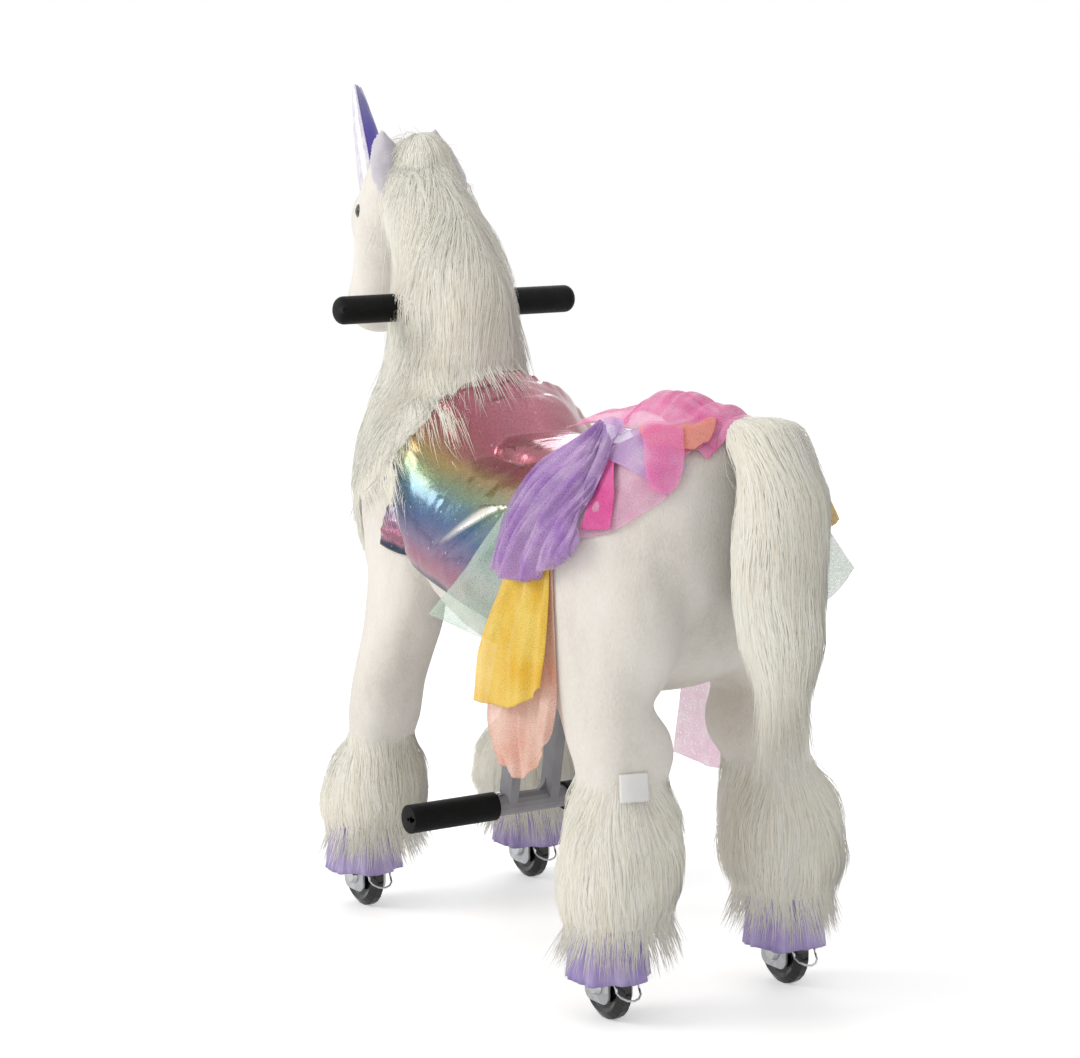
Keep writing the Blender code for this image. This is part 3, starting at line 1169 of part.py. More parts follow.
def make_wheel(name, side, axle_y, bore_radius):
    sides = WHEEL_FACETS
    half = WHEEL_WIDTH / 2
    bore = around(bore_radius, sides)
    right = [(half, bore), (half, HUB_RADIUS), (half - DISH_DEPTH, RIM_RADIUS - DISH_DEPTH),
             (half - DISH_DEPTH / 3, RIM_RADIUS + DISH_DEPTH), (TREAD_FLAT / 2, WHEEL_RADIUS)]
    right = [(x, r if r == bore else around(r, sides)) for x, r in right]
    profile = right + [(-x, r) for x, r in right[::-1]]
    wheel = turned_x("wheel", profile, (0, 0, 0), sides, hollow=True)
    tidy(wheel, name, "tyre_black", 40)
    wheel.location = (side * AXLE_X, axle_y, WHEEL_RADIUS)
    return wheel


def fork_outline(axle_y):
    """One fork plate in (y, z), with rounded lower corners."""
    half = FORK_PLATE_WIDTH / 2
    low = WHEEL_RADIUS - FORK_BELOW_AXLE
    outline = [(axle_y + half, FORK_TOP_Z), (axle_y - half, FORK_TOP_Z)]
    outline += arc((axle_y - half + FORK_CORNER, low + FORK_CORNER), FORK_CORNER, 180, 270, 4)
    outline += arc((axle_y + half - FORK_CORNER, low + FORK_CORNER), FORK_CORNER, 270, 360, 4)
    return outline


def make_fork(name, side, axle_y):
    x = side * AXLE_X
    outer = prism_x("plate", fork_outline(axle_y), x + FORK_HALF, x + FORK_OUTER)
    inner = prism_x("plate", fork_outline(axle_y), x - FORK_OUTER, x - FORK_HALF)
    half = FORK_PLATE_WIDTH / 2
    bridge = prism_x("bridge", [(axle_y - half, FORK_TOP_Z - FORK_PLATE),
                                (axle_y + half, FORK_TOP_Z - FORK_PLATE),
                                (axle_y + half, FORK_TOP_Z), (axle_y - half, FORK_TOP_Z)],
                     x - FORK_HALF - FORK_PLATE / 2, x + FORK_HALF + FORK_PLATE / 2)
    join(outer, inner, bridge)
    reach = FORK_OUTER + OVERRUN
    centre = (axle_y, WHEEL_RADIUS)
    cut(outer, rod("axle hole", (x - reach, *centre), (x + reach, *centre),
                   around(AXLE_RADIUS + SEAT_GAP, TUBE_SIDES)))
    return tidy(outer, name, "zinc_steel")


def make_axle(name, side, axle_y):
    """Bolt through the fork: round flange head outside, nut inside."""
    face = FORK_OUTER + SEAT_GAP
    profile = [(-face - NUT_HEIGHT, 0.8 * NUT_RADIUS), (-face, NUT_RADIUS), (-face, AXLE_RADIUS),
               (face, AXLE_RADIUS), (face, NUT_RADIUS), (face + NUT_HEIGHT, 0.7 * NUT_RADIUS)]
    profile = [(side * x, r) for x, r in profile]
    axle = turned_x("axle", profile, (side * AXLE_X, axle_y, WHEEL_RADIUS), TUBE_SIDES)
    return tidy(axle, name, "bright_steel")


def make_guard(name, side, axle_y):
    """Wire hoop behind the wheel, from one fork plate round to the other."""
    wide = FORK_HALF + FORK_PLATE / 2
    root_y = axle_y + FORK_PLATE_WIDTH / 2 + SEAT_GAP + GUARD_WIRE_RADIUS
    back = axle_y + WHEEL_RADIUS + GUARD_REACH
    top, low = WHEEL_RADIUS + GUARD_ROOT_RISE, WHEEL_RADIUS - GUARD_DROP
    points = [(wide, root_y, top), (wide, (root_y + back) / 2, (top + low) / 2)]
    for angle in (0, 30, 60, 90, 120, 150, 180):
        c, s = math.cos(math.radians(angle)), math.sin(math.radians(angle))
        points.append((wide * c, (root_y + back) / 2 + (back - (root_y + back) / 2) * s
                       + GUARD_WIRE_RADIUS, low + (top - low) * 0.35 * (1 - s)))
    points += [(-wide, (root_y + back) / 2, (top + low) / 2), (-wide, root_y, top)]
    points = [(side * AXLE_X + x, y, z) for x, y, z in points]
    guard = swept("guard", points, [GUARD_WIRE_RADIUS] * len(points), 5)
    return tidy(guard, name, "bright_steel", 60)


def make_cuff(name, side, front):
    """Satin cuff: a flared skirt with folds, sewn under the edge of the boot."""
    axle_y = FRONT_AXLE_Y if front else REAR_AXLE_Y
    centre = (side * AXLE_X, axle_y)
    sides = 3 * CUFF_FOLDS
    top, hem = CUFF_TOP_HEIGHT, CUFF_HEM_HEIGHT
    profile = [(top, CUFF_TOP_RADIUS), ((top + hem) / 2, (CUFF_TOP_RADIUS + CUFF_HEM_RADIUS) / 2),
               (hem, CUFF_HEM_RADIUS), (hem, CUFF_HEM_RADIUS - CUFF_CLOTH),
               (top, CUFF_TOP_RADIUS - CUFF_CLOTH)]
    rings = []
    for z, radius in profile:
        deep = CUFF_FOLD_DEPTH * (top - z) / (top - hem)
        ring = []
        for k in range(sides):
            angle = 2 * math.pi * k / sides
            r = radius + deep * math.cos(CUFF_FOLDS * angle)
            ring.append((centre[0] + r * math.cos(angle), centre[1] + r * math.sin(angle), z))
        rings.append(ring)
    return tidy(ring_loft("cuff", rings), name, "cuff_satin", 60)


# Leg plush

def leg_ring(side, centre, wide, deep, z):
    """One level slice of a leg's plush, a little fuller than an ellipse."""
    ring = []
    for c, s in circle(1.0, LEG_POINTS):
        ring.append((side * (centre[0] + wide * math.copysign(abs(c) ** 0.85, c)),
                     centre[1] + deep * math.copysign(abs(s) ** 0.95, s), z))
    return ring


def make_leg_plush(name, side, front):
    """Boot, shin and thigh, with a crowned disc where the leg meets the body."""
    if front:
        table, boot, disc = FRONT_LEG_SHARES, FRONT_BOOT_RADIUS, SHOULDER_DISC_RADIUS
        axle_y, hub_y, hub_z = FRONT_AXLE_Y, POST_Y, SHOULDER_HEIGHT
        inner, outer = SHOULDER_INNER_X, SHOULDER_OUTER_X
    else:
        table, boot, disc = REAR_LEG_SHARES, REAR_BOOT_RADIUS, HIP_DISC_RADIUS
        axle_y, hub_y, hub_z = REAR_AXLE_Y, HIP_Y, HIP_HEIGHT
        inner, outer = HIP_INNER_X, HIP_OUTER_X
    rings = []
    for rise, middle, wide, deep, way in table:
        centre = (middle * AXLE_X, axle_y + way * (hub_y - axle_y))
        z = BOOT_SOLE_HEIGHT + rise * (hub_z - BOOT_SOLE_HEIGHT)
        rings.append(leg_ring(side, centre, wide * boot, deep * boot, z))
    for high in DISC_LEVEL_SHARES:
        crown = outer - (outer - inner) * DISC_CROWN_SHARE * high ** 2
        centre = ((inner + crown) / 2, hub_y)
        rings.append(leg_ring(side, centre, (crown - inner) / 2, disc * math.sqrt(1 - high * high),
                              hub_z + high * disc))
    plush = loft("leg", rings, None, (side * centre[0], hub_y, hub_z + disc))
    shaft, tubes = leg_tubes(front, SEAT_GAP)
    cut(plush, shaft, *tubes)
    return tidy(plush, name, "white_plush", 50)


def make_leg_pair(front):
    end = "front" if front else "rear"
    axle_y = FRONT_AXLE_Y if front else REAR_AXLE_Y
    made = [make_leg_frame(front)]
    for side, hand in ((1, "left"), (-1, "right")):
        start = f"{end}_{hand}_"
        made += [make_leg_plush(start + "leg_plush", side, front),
                 make_cuff(start + "hoof_cuff", side, front),
                 make_fork(start + "wheel_fork", side, axle_y),
                 make_axle(start + "axle", side, axle_y),
                 make_guard(start + "hair_guard", side, axle_y)]
        if not front:
            inner = around(AXLE_RADIUS + RUNNING_GAP, TUBE_SIDES)
            outer = AXLE_RADIUS + RUNNING_GAP + BEARING_WALL
            half = BEARING_WIDTH / 2
            ring = turned_x("bearing", [(-half, inner), (-half, outer), (half, outer),
                                        (half, inner)],
                            (side * AXLE_X, axle_y, WHEEL_RADIUS), TUBE_SIDES, hollow=True)
            made.append(tidy(ring, f"{hand}_one_way_bearing", "bronze"))
    return made


# Chest, neck, head

def chest_radius(rear, front, ahead):
    """Distance of the chest's skin from the steering axis, by degrees off the nose."""
    blend = max(0.0, (math.cos(math.radians(ahead)) - 0.3) / 0.7)
    side = rear * CHEST_RADIUS
    return side + (front * CHEST_FRONT_DEPTH - side) * blend * blend * (3 - 2 * blend)


def chest_ring(rise, rear, front, shrink):
    """Open horseshoe of points round the steering axis, seen from above."""
    z = CHEST_BOTTOM_HEIGHT + rise * (CHEST_TOP_HEIGHT - CHEST_BOTTOM_HEIGHT)
    half = 180 - CHEST_REAR_OPENING / 2
    count = 17
    points = []
    for k in range(count):
        angle = -90 - half + 2 * half * k / (count - 1)
        radius = chest_radius(rear, front, angle + 90) - shrink
        points.append((radius * math.cos(math.radians(angle)),
                       POST_Y + radius * math.sin(math.radians(angle)), z))
    return points


def leg_socket(side):
    """Round socket of one front leg, open below for the swing."""
    reach = SHOULDER_DISC_RADIUS + MOVING_GAP / 2
    drop = SHOULDER_HEIGHT - CHEST_BOTTOM_HEIGHT + OVERRUN
    spread = drop * math.tan(math.radians(2 * LEG_SWING))
    outline = arc((POST_Y, SHOULDER_HEIGHT), around(reach, 24), 0, 180, 12)
    outline += [(POST_Y - reach - spread, SHOULDER_HEIGHT - drop),
                (POST_Y + reach, SHOULDER_HEIGHT - drop)]
    low, high = SHOULDER_INNER_X - LEG_INNER_GAP, CHEST_RADIUS + OVERRUN
    return prism_x("leg socket", outline, *((low, high) if side > 0 else (-high, -low)))


def chest_block():
    """The chest's outer shape, for cutting the fur that lies on it."""
    rings = [chest_ring(rise, rear, front, -SEAT_GAP) for rise, rear, front in CHEST_SHARES]
    rings.append([(x, y, z + 2 * SEAT_GAP) for x, y, z in rings[-1]])
    return loft("chest block", rings)


def make_chest():
    rings = []
    for rise, rear, front in CHEST_SHARES:
        outer = chest_ring(rise, rear, front, 0.0)
        wall = CHEST_WALL if rise > 0 else CHEST_WALL * 1.6
        rings.append(outer + chest_ring(rise, rear, front, wall)[::-1])
    chest = loft("chest", rings)
    reach = CHEST_RADIUS
    cut(chest, leg_socket(1), leg_socket(-1),
        rod("shaft hole", (-reach, POST_Y, SHOULDER_HEIGHT), (reach, POST_Y, SHOULDER_HEIGHT),
            LEG_SHAFT_RADIUS + MOVING_GAP))
    return tidy(chest, "chest_plush", "white_plush", 50)


def neck_section(z):
    """Half-width, half-depth and middle of the neck at a height."""
    low = CHEST_TOP_HEIGHT + SEAT_GAP
    wide, deep, step = between(NECK_SHARES, (z - low) / (NECK_TOP_HEIGHT - low))
    middle = POST_Y - NECK_MIDDLE_AHEAD_OF_POST - step * NECK_HALF_DEPTH
    return wide * NECK_HALF_WIDTH, deep * NECK_HALF_DEPTH, middle


def head_axis(distance):
    tilt = math.radians(HEAD_TILT)
    return Vector((0, POLL_Y - distance * math.sin(tilt), POLL_HEIGHT - distance * math.cos(tilt)))


def head_shape(grow=0.0):
    tilt = math.radians(HEAD_TILT)
    brow = Vector((0, -math.cos(tilt), math.sin(tilt)))
    rings = []
    for share, wide, deep in HEAD_SHARES:
        centre = head_axis(share * HEAD_LENGTH)
        a, b = wide * HEAD_HALF_WIDTH + grow, deep * HEAD_HALF_DEPTH + grow
        ring = []
        for c, s in circle(1.0, HEAD_POINTS):
            cheek = 1.0 - 0.10 * max(0.0, s)
            ring.append(centre + Vector((a * c * cheek, 0, 0)) + brow * (b * s))
        rings.append(ring)
    return loft("head", rings, head_axis(-grow), head_axis(HEAD_LENGTH + grow))


def head_rod_space(grow):
    return rod("rod space", (0, POST_Y - POST_RADIUS, BAR_HEIGHT + STEM_HALF_HEIGHT / 2),
               (0, POST_Y - HEAD_ROD_AHEAD - grow, HEAD_ROD_HEIGHT + grow),
               HEAD_ROD_RADIUS + grow, 12)


def make_neck():
    low = CHEST_TOP_HEIGHT + SEAT_GAP
    rings = []
    for share, *_ in NECK_SHARES:
        z = low + share * (NECK_TOP_HEIGHT - low)
        wide, deep, middle = neck_section(z)
        rings.append([(wide * a, middle + deep * b, z) for a, b in circle(1.0, NECK_POINTS)])
    middle = neck_section(NECK_TOP_HEIGHT)[2]
    neck = loft("neck", rings, None, (0, middle, NECK_TOP_HEIGHT))
    half = NECK_POCKET_HALF_WIDTH
    front = BAR_Y - BAR_RADIUS - BUSH_WALL - OVERRUN / 5
    rear = POST_Y + POST_RADIUS + OVERRUN / 5
    top = BAR_HEIGHT + STEM_HALF_HEIGHT + BUSH_WALL
    pocket = prism_x("pocket", [(front, BAR_HEIGHT - 2 * STEM_HALF_HEIGHT),
                                (POST_Y - POST_RADIUS - OVERRUN / 5, CHEST_TOP_HEIGHT - OVERRUN),
                                (rear, CHEST_TOP_HEIGHT - OVERRUN), (rear, top), (front, top)],
                     -half, half)
    wide = NECK_HALF_WIDTH + OVERRUN
    grip_hole = rod("grip hole", (-wide, BAR_Y, BAR_HEIGHT), (wide, BAR_Y, BAR_HEIGHT),
                    around(GRIP_RADIUS + SEAT_GAP, TUBE_SIDES))
    cut(neck, head_shape(SEAT_GAP), pocket, grip_hole, head_rod_space(SEAT_GAP))
    return tidy(neck, "neck_plush", "white_plush", 50)


def make_eye(side, name):
    place = Vector((side * EYE_SPREAD, POLL_Y - EYE_AHEAD_OF_POLL, POLL_HEIGHT - EYE_BELOW_POLL))
    rings = []
    for k in range(1, 6):
        angle = math.pi * k / 6
        r = EYE_RADIUS * math.sin(angle)
        x = EYE_RADIUS * EYE_FLATNESS_SHARE * math.cos(angle)
        rings.append([(place.x + side * x, place.y + a, place.z + b) for a, b in circle(r, 12)])
    flat = EYE_RADIUS * EYE_FLATNESS_SHARE * side
    eye = loft("eye", rings, (place.x + flat, place.y, place.z), (place.x - flat, place.y, place.z))
    cut(eye, head_shape(SEAT_GAP))
    return tidy(eye, name, "eye_black", 60)


def make_ear(side, name):
    """Cupped leaf that stands on the side of the poll."""
    rings = []
    turn = Matrix.Rotation(math.radians(EAR_LEAN_FORWARD), 3, "X")
    turn = Matrix.Rotation(math.radians(side * EAR_LEAN_OUT), 3, "Y") @ turn
    root = Vector((side * EAR_SPREAD, POLL_Y + EAR_ROOT_BEHIND_POLL,
                   POLL_HEIGHT - EAR_ROOT_BELOW_POLL))
    for share, width in EAR_SHARES:
        half = width * EAR_HALF_WIDTH
        ring = []
        for a, b in circle(1.0, 12):
            cup = EAR_THICKNESS * 0.9 * a * a
            point = Vector((half * a, b * EAR_THICKNESS / 2 * (0.5 + width / 2) - cup,
                            share * EAR_LENGTH))
            ring.append(root + turn @ point)
        rings.append(ring)
    ear = loft("ear", rings, None, root + turn @ Vector((0, 0, EAR_LENGTH)))
    cut(ear, head_shape(SEAT_GAP), neck_block(), mane_block())
    return tidy(ear, name, "ear_velvet", 60)


def neck_block():
    """The neck's outer shape, for cutting what stands next to it."""
    rings = []
    grow = 3 * SEAT_GAP
    low = CHEST_TOP_HEIGHT + SEAT_GAP
    for share, *_ in NECK_SHARES:
        z = low + share * (NECK_TOP_HEIGHT - low)
        wide, deep, middle = neck_section(z)
        rings.append([((wide + grow) * a, middle + (deep + grow) * b, z)
                      for a, b in circle(1.0, NECK_POINTS)])
    middle = neck_section(NECK_TOP_HEIGHT)[2]
    return loft("neck block", rings, None, (0, middle, NECK_TOP_HEIGHT + SEAT_GAP))


def make_horn():
    """Stuffed foil cone, slightly full towards its tip."""
    lean = math.radians(HORN_LEAN)
    along = Vector((0, -math.sin(lean), math.cos(lean)))
    side = Vector((1, 0, 0))
    up = along.cross(side)
    root = Vector((0, POLL_Y - HORN_ROOT_AHEAD_OF_POLL, POLL_HEIGHT - HORN_ROOT_BELOW_POLL))
    rings = [[root + along * (share * HORN_LENGTH) + side * a + up * b
              for a, b in circle(size * HORN_RADIUS, HORN_SIDES)] for share, size in HORN_SHARES]
    horn = loft("horn", rings, None, root + along * HORN_LENGTH)
    cut(horn, head_shape(SEAT_GAP))
    return tidy(horn, "horn", "horn_foil", 60)


def make_head():
    head = head_shape()
    cut(head, head_rod_space(SEAT_GAP))
    return tidy(head, "head_plush", "white_plush", 50)


# Mane and tail

MANE_ANGLES = (-112, -97, -82, -67, -52, -37, -22, -8, 4, 14, 23, 32, 44, 58, 72)
MANE_HEM_SHARES = ((-112, 0.00), (-22, 0.00), (4, 0.03), (14, 0.40), (23, 0.80), (32, 1.00),
                   (72, 1.00))
MANE_LEVELS = 9


def mane_skin(angle, z, grow):
    """Point on the neck or chest at an angle from the left side towards the nose."""
    c, s = math.cos(math.radians(angle)), -math.sin(math.radians(angle))
    if z >= CHEST_TOP_HEIGHT + SEAT_GAP:
        wide, deep, middle = neck_section(z)
        return ((wide + grow) * c, middle + (deep + grow) * s, z)
    share = (z - CHEST_BOTTOM_HEIGHT) / (CHEST_TOP_HEIGHT - CHEST_BOTTOM_HEIGHT)
    radius = chest_radius(*between(CHEST_SHARES, share), 90 - angle) + grow
    return (radius * c, POST_Y + radius * s, z)


def make_mane():
    """Long fur over the crest and the left side of the neck, thinner at its hem."""
    rings = []
    for angle in MANE_ANGLES:
        share = between(MANE_HEM_SHARES, angle)[0]
        hem = MANE_NAPE_HEIGHT + (MANE_HEM_HEIGHT - MANE_NAPE_HEIGHT) * share
        tall = NECK_TOP_HEIGHT - MANE_BELOW_POLL - hem
        inner, outer = [], []
        for k in range(MANE_LEVELS):
            z = hem + tall * k / (MANE_LEVELS - 1)
            rise = math.sin(math.pi / 2 * min(1.0, (k + 0.5) / 3))
            thick = MANE_HEM_THICKNESS + (MANE_THICKNESS - MANE_HEM_THICKNESS) * rise
            if angle in (MANE_ANGLES[0], MANE_ANGLES[-1]):
                thick = MANE_HEM_THICKNESS
            inner.append(mane_skin(angle, z, -MANE_SINK))
            outer.append(mane_skin(angle, z, thick))
        rings.append(inner + outer[::-1])
    mane = loft("mane", rings)
    cut(mane, head_shape(SEAT_GAP), neck_block(), chest_block(), steering_collar(), grip_tunnel())
    return tidy(mane, "mane", "long_fur", 60)


def make_topknot():
    """Tuft of fur on the poll, between the ears."""
    middle = neck_section(NECK_TOP_HEIGHT - MANE_BELOW_POLL)[2]
    base = NECK_TOP_HEIGHT - TOPKNOT_SINK
    rings = []
    for share, size in TOPKNOT_SHARES:
        z = base + share * (TOPKNOT_TOP_HEIGHT - base)
        rings.append([(TOPKNOT_HALF_WIDTH * size * a,
                       middle + TOPKNOT_HALF_DEPTH * size * b - share * TOPKNOT_LEAN, z)
                      for a, b in circle(1.0, 12)])
    tuft = loft("tuft", rings, None, (0, middle - TOPKNOT_LEAN, TOPKNOT_TOP_HEIGHT))
    cut(tuft, head_shape(SEAT_GAP), neck_block(), mane_block())
    return tidy(tuft, "topknot", "long_fur", 60)


def steering_collar():
    """What stays clear of the torso and the saddle below the nape."""
    low, high = TORSO_BELLY_HEIGHT, TRIM_SLOPE_TOP_HEIGHT - MOVING_GAP
    reach = CHEST_RADIUS + 4 * OVERRUN
    angle = math.radians(STEER_SWING + 3)
    edge = (reach * math.cos(angle), POST_Y - reach * math.sin(angle))
    outline = [(0, POST_Y), edge, (reach, POST_Y + reach), (-reach, POST_Y + reach),
               (-reach, POST_Y)]
    return prism_z("collar", outline, low, high)


def mane_block():
    """The mane's outer shape over the crest, for cutting the ears and the tuft."""
    rings = []
    top = NECK_TOP_HEIGHT - MANE_BELOW_POLL
    step = (top - MANE_NAPE_HEIGHT) / (MANE_LEVELS - 1)
    for z in (top - 4 * step, top - 3 * step, top - 2 * step, top - step, top, top + SEAT_GAP):
        wide, deep, middle = neck_section(z)
        grow = MANE_THICKNESS + SEAT_GAP
        rings.append([((wide + grow) * a, middle + (deep + grow) * b, z)
                      for a, b in circle(1.0, NECK_POINTS)])
    return loft("mane block", rings)


def grip_tunnel():
    wide = NECK_HALF_WIDTH + 3 * OVERRUN
    return rod("tunnel", (-wide, BAR_Y, BAR_HEIGHT), (wide, BAR_Y, BAR_HEIGHT),
               around(GRIP_RADIUS + 3 * SEAT_GAP, TUBE_SIDES))


def make_tail():
    """Fall of long fur from the top of the rump, set on the torso's skin."""
    root = Vector((0, HIP_Y + TAIL_ROOT_BEHIND_HIP, TAIL_ROOT_HEIGHT))
    fall = HIP_Y + TAIL_FALL_BEHIND_HIP
    bend = Vector((0, HIP_Y + (TAIL_ROOT_BEHIND_HIP + 2 * TAIL_FALL_BEHIND_HIP) / 3,
                   TAIL_TOP_HEIGHT - TAIL_RADIUS / 4))
    drop = TAIL_TOP_HEIGHT - TAIL_END_HEIGHT
    path = [root, bend]
    for share in (0.16, 0.34, 0.54, 0.76, 0.92, 1.0):
        y = fall + (TAIL_END_BEHIND_HIP - TAIL_FALL_BEHIND_HIP) * share
        path.append(Vector((0, y, TAIL_TOP_HEIGHT - TAIL_RADIUS / 2 - share * drop
                            + share * TAIL_RADIUS / 2)))
    sizes = (0.62, 0.80, 0.98, 1.0, 0.97, 0.86, 0.62, 0.30)
    tail = swept("tail", path, [s * TAIL_RADIUS for s in sizes], TAIL_SIDES)
    body = torso_block(SEAT_GAP)
    cut(tail, body)
    return tidy(tail, "tail", "long_fur", 60)


def torso_block(grow):
    rings = []
    for y in torso_stations():
        rings.append([section_point(y, 360 * (k + 0.5) / TORSO_POINTS, grow, grow)
                      for k in range(TORSO_POINTS)])
    tip = (0, TORSO_FRONT_Y + TORSO_LENGTH + grow,
           TORSO_BELLY_HEIGHT + TORSO_END_SHARE * TORSO_HEIGHT)
    return loft("torso block", rings, None, tip)


def build():
    clear_scene()
    make_seat_beam()
    make_seat()
    make_spring()
    make_torso()
    make_saddle()
    make_tail()
    make_tulles()
    steer = pivot_at("steering_pivot", (0, POST_Y, SHOULDER_HEIGHT))
    front_end = [make_steering_post(), *make_handlebar(), make_neck(), make_head(),
                 make_ear(1, "left_ear"), make_ear(-1, "right_ear"), make_horn(),
                 make_eye(1, "left_eye"), make_eye(-1, "right_eye"), make_mane(),
                 make_topknot(), make_chest()]
    hang_on(steer, *front_end)
    shoulder = pivot_at("shoulder_pivot", (0, POST_Y, SHOULDER_HEIGHT))
    hang_on(steer, shoulder)
    hang_on(shoulder, *make_leg_pair(True))
    hip = pivot_at("hip_pivot", (0, HIP_Y, HIP_HEIGHT))
    hang_on(hip, *make_leg_pair(False))
    foot = pivot_at("foot_pivot", (0, FOOT_PIVOT_Y, FOOT_PIVOT_Z))
    hang_on(foot, *make_foot_frame())
    link = pivot_at("link_pivot", (0, HIP_Y, HIP_PIN_Z))
    hang_on(hip, link)
    hang_on(link, make_drag_link())
    rear_bore = AXLE_RADIUS + RUNNING_GAP + BEARING_WALL + RUNNING_GAP
    front_bore = AXLE_RADIUS + RUNNING_GAP
    for end, axle_y, bore, holder in (("front", FRONT_AXLE_Y, front_bore, shoulder),
                                      ("rear", REAR_AXLE_Y, rear_bore, hip)):
        for side, hand in ((1, "left"), (-1, "right")):
            wheel = make_wheel(f"{end}_{hand}_wheel", side, axle_y, bore)
            hang_on(holder, wheel)


build()
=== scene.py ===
import math

import bmesh
import bpy
import numpy as np
from mathutils import Matrix, Vector, noise
from mathutils.bvhtree import BVHTree


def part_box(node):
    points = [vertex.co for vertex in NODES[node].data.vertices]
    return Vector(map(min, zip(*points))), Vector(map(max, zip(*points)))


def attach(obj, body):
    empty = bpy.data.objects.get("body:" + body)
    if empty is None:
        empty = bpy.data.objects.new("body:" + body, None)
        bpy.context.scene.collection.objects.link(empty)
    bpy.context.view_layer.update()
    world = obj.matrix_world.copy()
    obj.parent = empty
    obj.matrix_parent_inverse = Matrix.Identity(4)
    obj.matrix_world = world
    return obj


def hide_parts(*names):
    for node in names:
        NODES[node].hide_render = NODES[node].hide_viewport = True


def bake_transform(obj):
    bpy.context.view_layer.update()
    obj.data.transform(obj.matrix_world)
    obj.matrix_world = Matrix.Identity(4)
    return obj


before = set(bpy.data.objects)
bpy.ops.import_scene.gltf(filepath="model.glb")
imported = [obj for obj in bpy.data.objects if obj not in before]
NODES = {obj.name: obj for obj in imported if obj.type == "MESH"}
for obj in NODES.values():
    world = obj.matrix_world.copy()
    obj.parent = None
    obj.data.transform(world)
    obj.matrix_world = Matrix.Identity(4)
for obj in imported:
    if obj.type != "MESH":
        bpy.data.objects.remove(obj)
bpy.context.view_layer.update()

# Camera
# A long lens behind the animal's left hip, a little above its back.
VIEW_YAW, VIEW_PITCH = -0.5728, 0.1578
VIEW_PLACE = Vector((1.6228, 2.48353, 0.8809))
VIEW_LENS, VIEW_SENSOR = 103.41, 36.0
VIEW_WIDE, VIEW_HIGH = 1080, 1058

scene = bpy.context.scene
scene.view_settings.view_transform = "Standard"
look = Vector((math.sin(VIEW_YAW) * math.cos(VIEW_PITCH),
               -math.cos(VIEW_YAW) * math.cos(VIEW_PITCH), -math.sin(VIEW_PITCH)))
view_right = look.cross(Vector((0, 0, 1))).normalized()
view_up = view_right.cross(look)
lens = bpy.data.cameras.new("camera")
lens.lens, lens.sensor_width, lens.sensor_fit = VIEW_LENS, VIEW_SENSOR, "HORIZONTAL"
camera = bpy.data.objects.new("camera", lens)
scene.collection.objects.link(camera)
view_place = Matrix((view_right, view_up, -look)).transposed().to_4x4()
view_place.translation = VIEW_PLACE
camera.matrix_world = view_place
scene.camera = camera


def sight(across, down):
    """The direction in which the camera sees a point of the picture."""
    half = VIEW_SENSOR / 2 / VIEW_LENS
    sideways = (across - VIEW_WIDE / 2) / (VIEW_WIDE / 2) * half
    upwards = (VIEW_HIGH / 2 - down) / (VIEW_WIDE / 2) * half
    return (look + view_right * sideways + view_up * upwards).normalized()


def seen(across, down, x):
    """The place at that point of the picture on the upright plane at x."""
    ray = sight(across, down)
    return VIEW_PLACE + ray * ((x - VIEW_PLACE.x) / ray.x)


# Studio
# A white sweep under one large soft lamp on the animal's left and a weaker one in front, with a white
# room behind that only the camera, mirrors and glass see at full strength.
def linear(colour):
    """An sRGB hex colour as linear red, green, blue and a full alpha."""
    parts = [int(colour[i:i + 2], 16) / 255 for i in (0, 2, 4)]
    return tuple(p / 12.92 if p <= 0.04045 else ((p + 0.055) / 1.055) ** 2.4 for p in parts) + (1.0,)


def node(tree, kind, sockets=(), **settings):
    """Adds a shader node: a socket's value is a number, a colour or the output that feeds it."""
    made = tree.nodes.new("ShaderNode" + kind)
    for name, value in settings.items():
        setattr(made, name, value)
    for name, value in dict(sockets).items():
        if isinstance(value, bpy.types.NodeSocket):
            tree.links.new(value, made.inputs[name])
        else:
            made.inputs[name].default_value = value
    return made


def finish(name, colour, roughness, **sockets):
    """A material on the Principled shader, its tree and its shader. Constants stay on the sockets."""
    made = bpy.data.materials.new(name)
    made.use_nodes = True
    shader = made.node_tree.nodes["Principled BSDF"]
    shader.inputs["Base Color"].default_value = linear(colour)
    shader.inputs["Roughness"].default_value = roughness
    for socket, value in sockets.items():
        shader.inputs[socket.replace("_", " ")].default_value = value
    return made, made.node_tree, shader


def ramp(tree, factor, *stops):
    """Colours at shares of a factor, from (share, hex) pairs."""
    made = node(tree, "ValToRGB", {"Fac": factor})
    band = made.color_ramp
    while len(band.elements) < len(stops):
        band.elements.new(0.5)
    for element, (share, colour) in zip(band.elements, stops):
        element.position, element.color = share, linear(colour)
    return made.outputs["Color"]


def pattern(tree, kind, scale, detail=None, stretch=(1.0, 1.0, 1.0), output="Fac", more=(), **settings):
    """A texture's output over object coordinates in metres, stretched along the axes."""
    coords = node(tree, "TexCoord").outputs["Object"]
    place = node(tree, "Mapping", {"Vector": coords, "Scale": stretch}).outputs["Vector"]
    sockets = {"Vector": place, "Scale": scale, **dict(more)}
    if detail is not None:
        sockets["Detail"] = detail
    return node(tree, "Tex" + kind, sockets, **settings).outputs[output]


def paint(tree, shader, factor, *stops):
    """Colours the material by a factor, from (share, hex) pairs."""
    tree.links.new(ramp(tree, factor, *stops), shader.inputs["Base Color"])


def dull(tree, shader, factor, least, most):
    """Lets the roughness run between two values by a factor."""
    level = node(tree, "MapRange", {"Value": factor, "To Min": least, "To Max": most}).outputs[0]
    tree.links.new(level, shader.inputs["Roughness"])


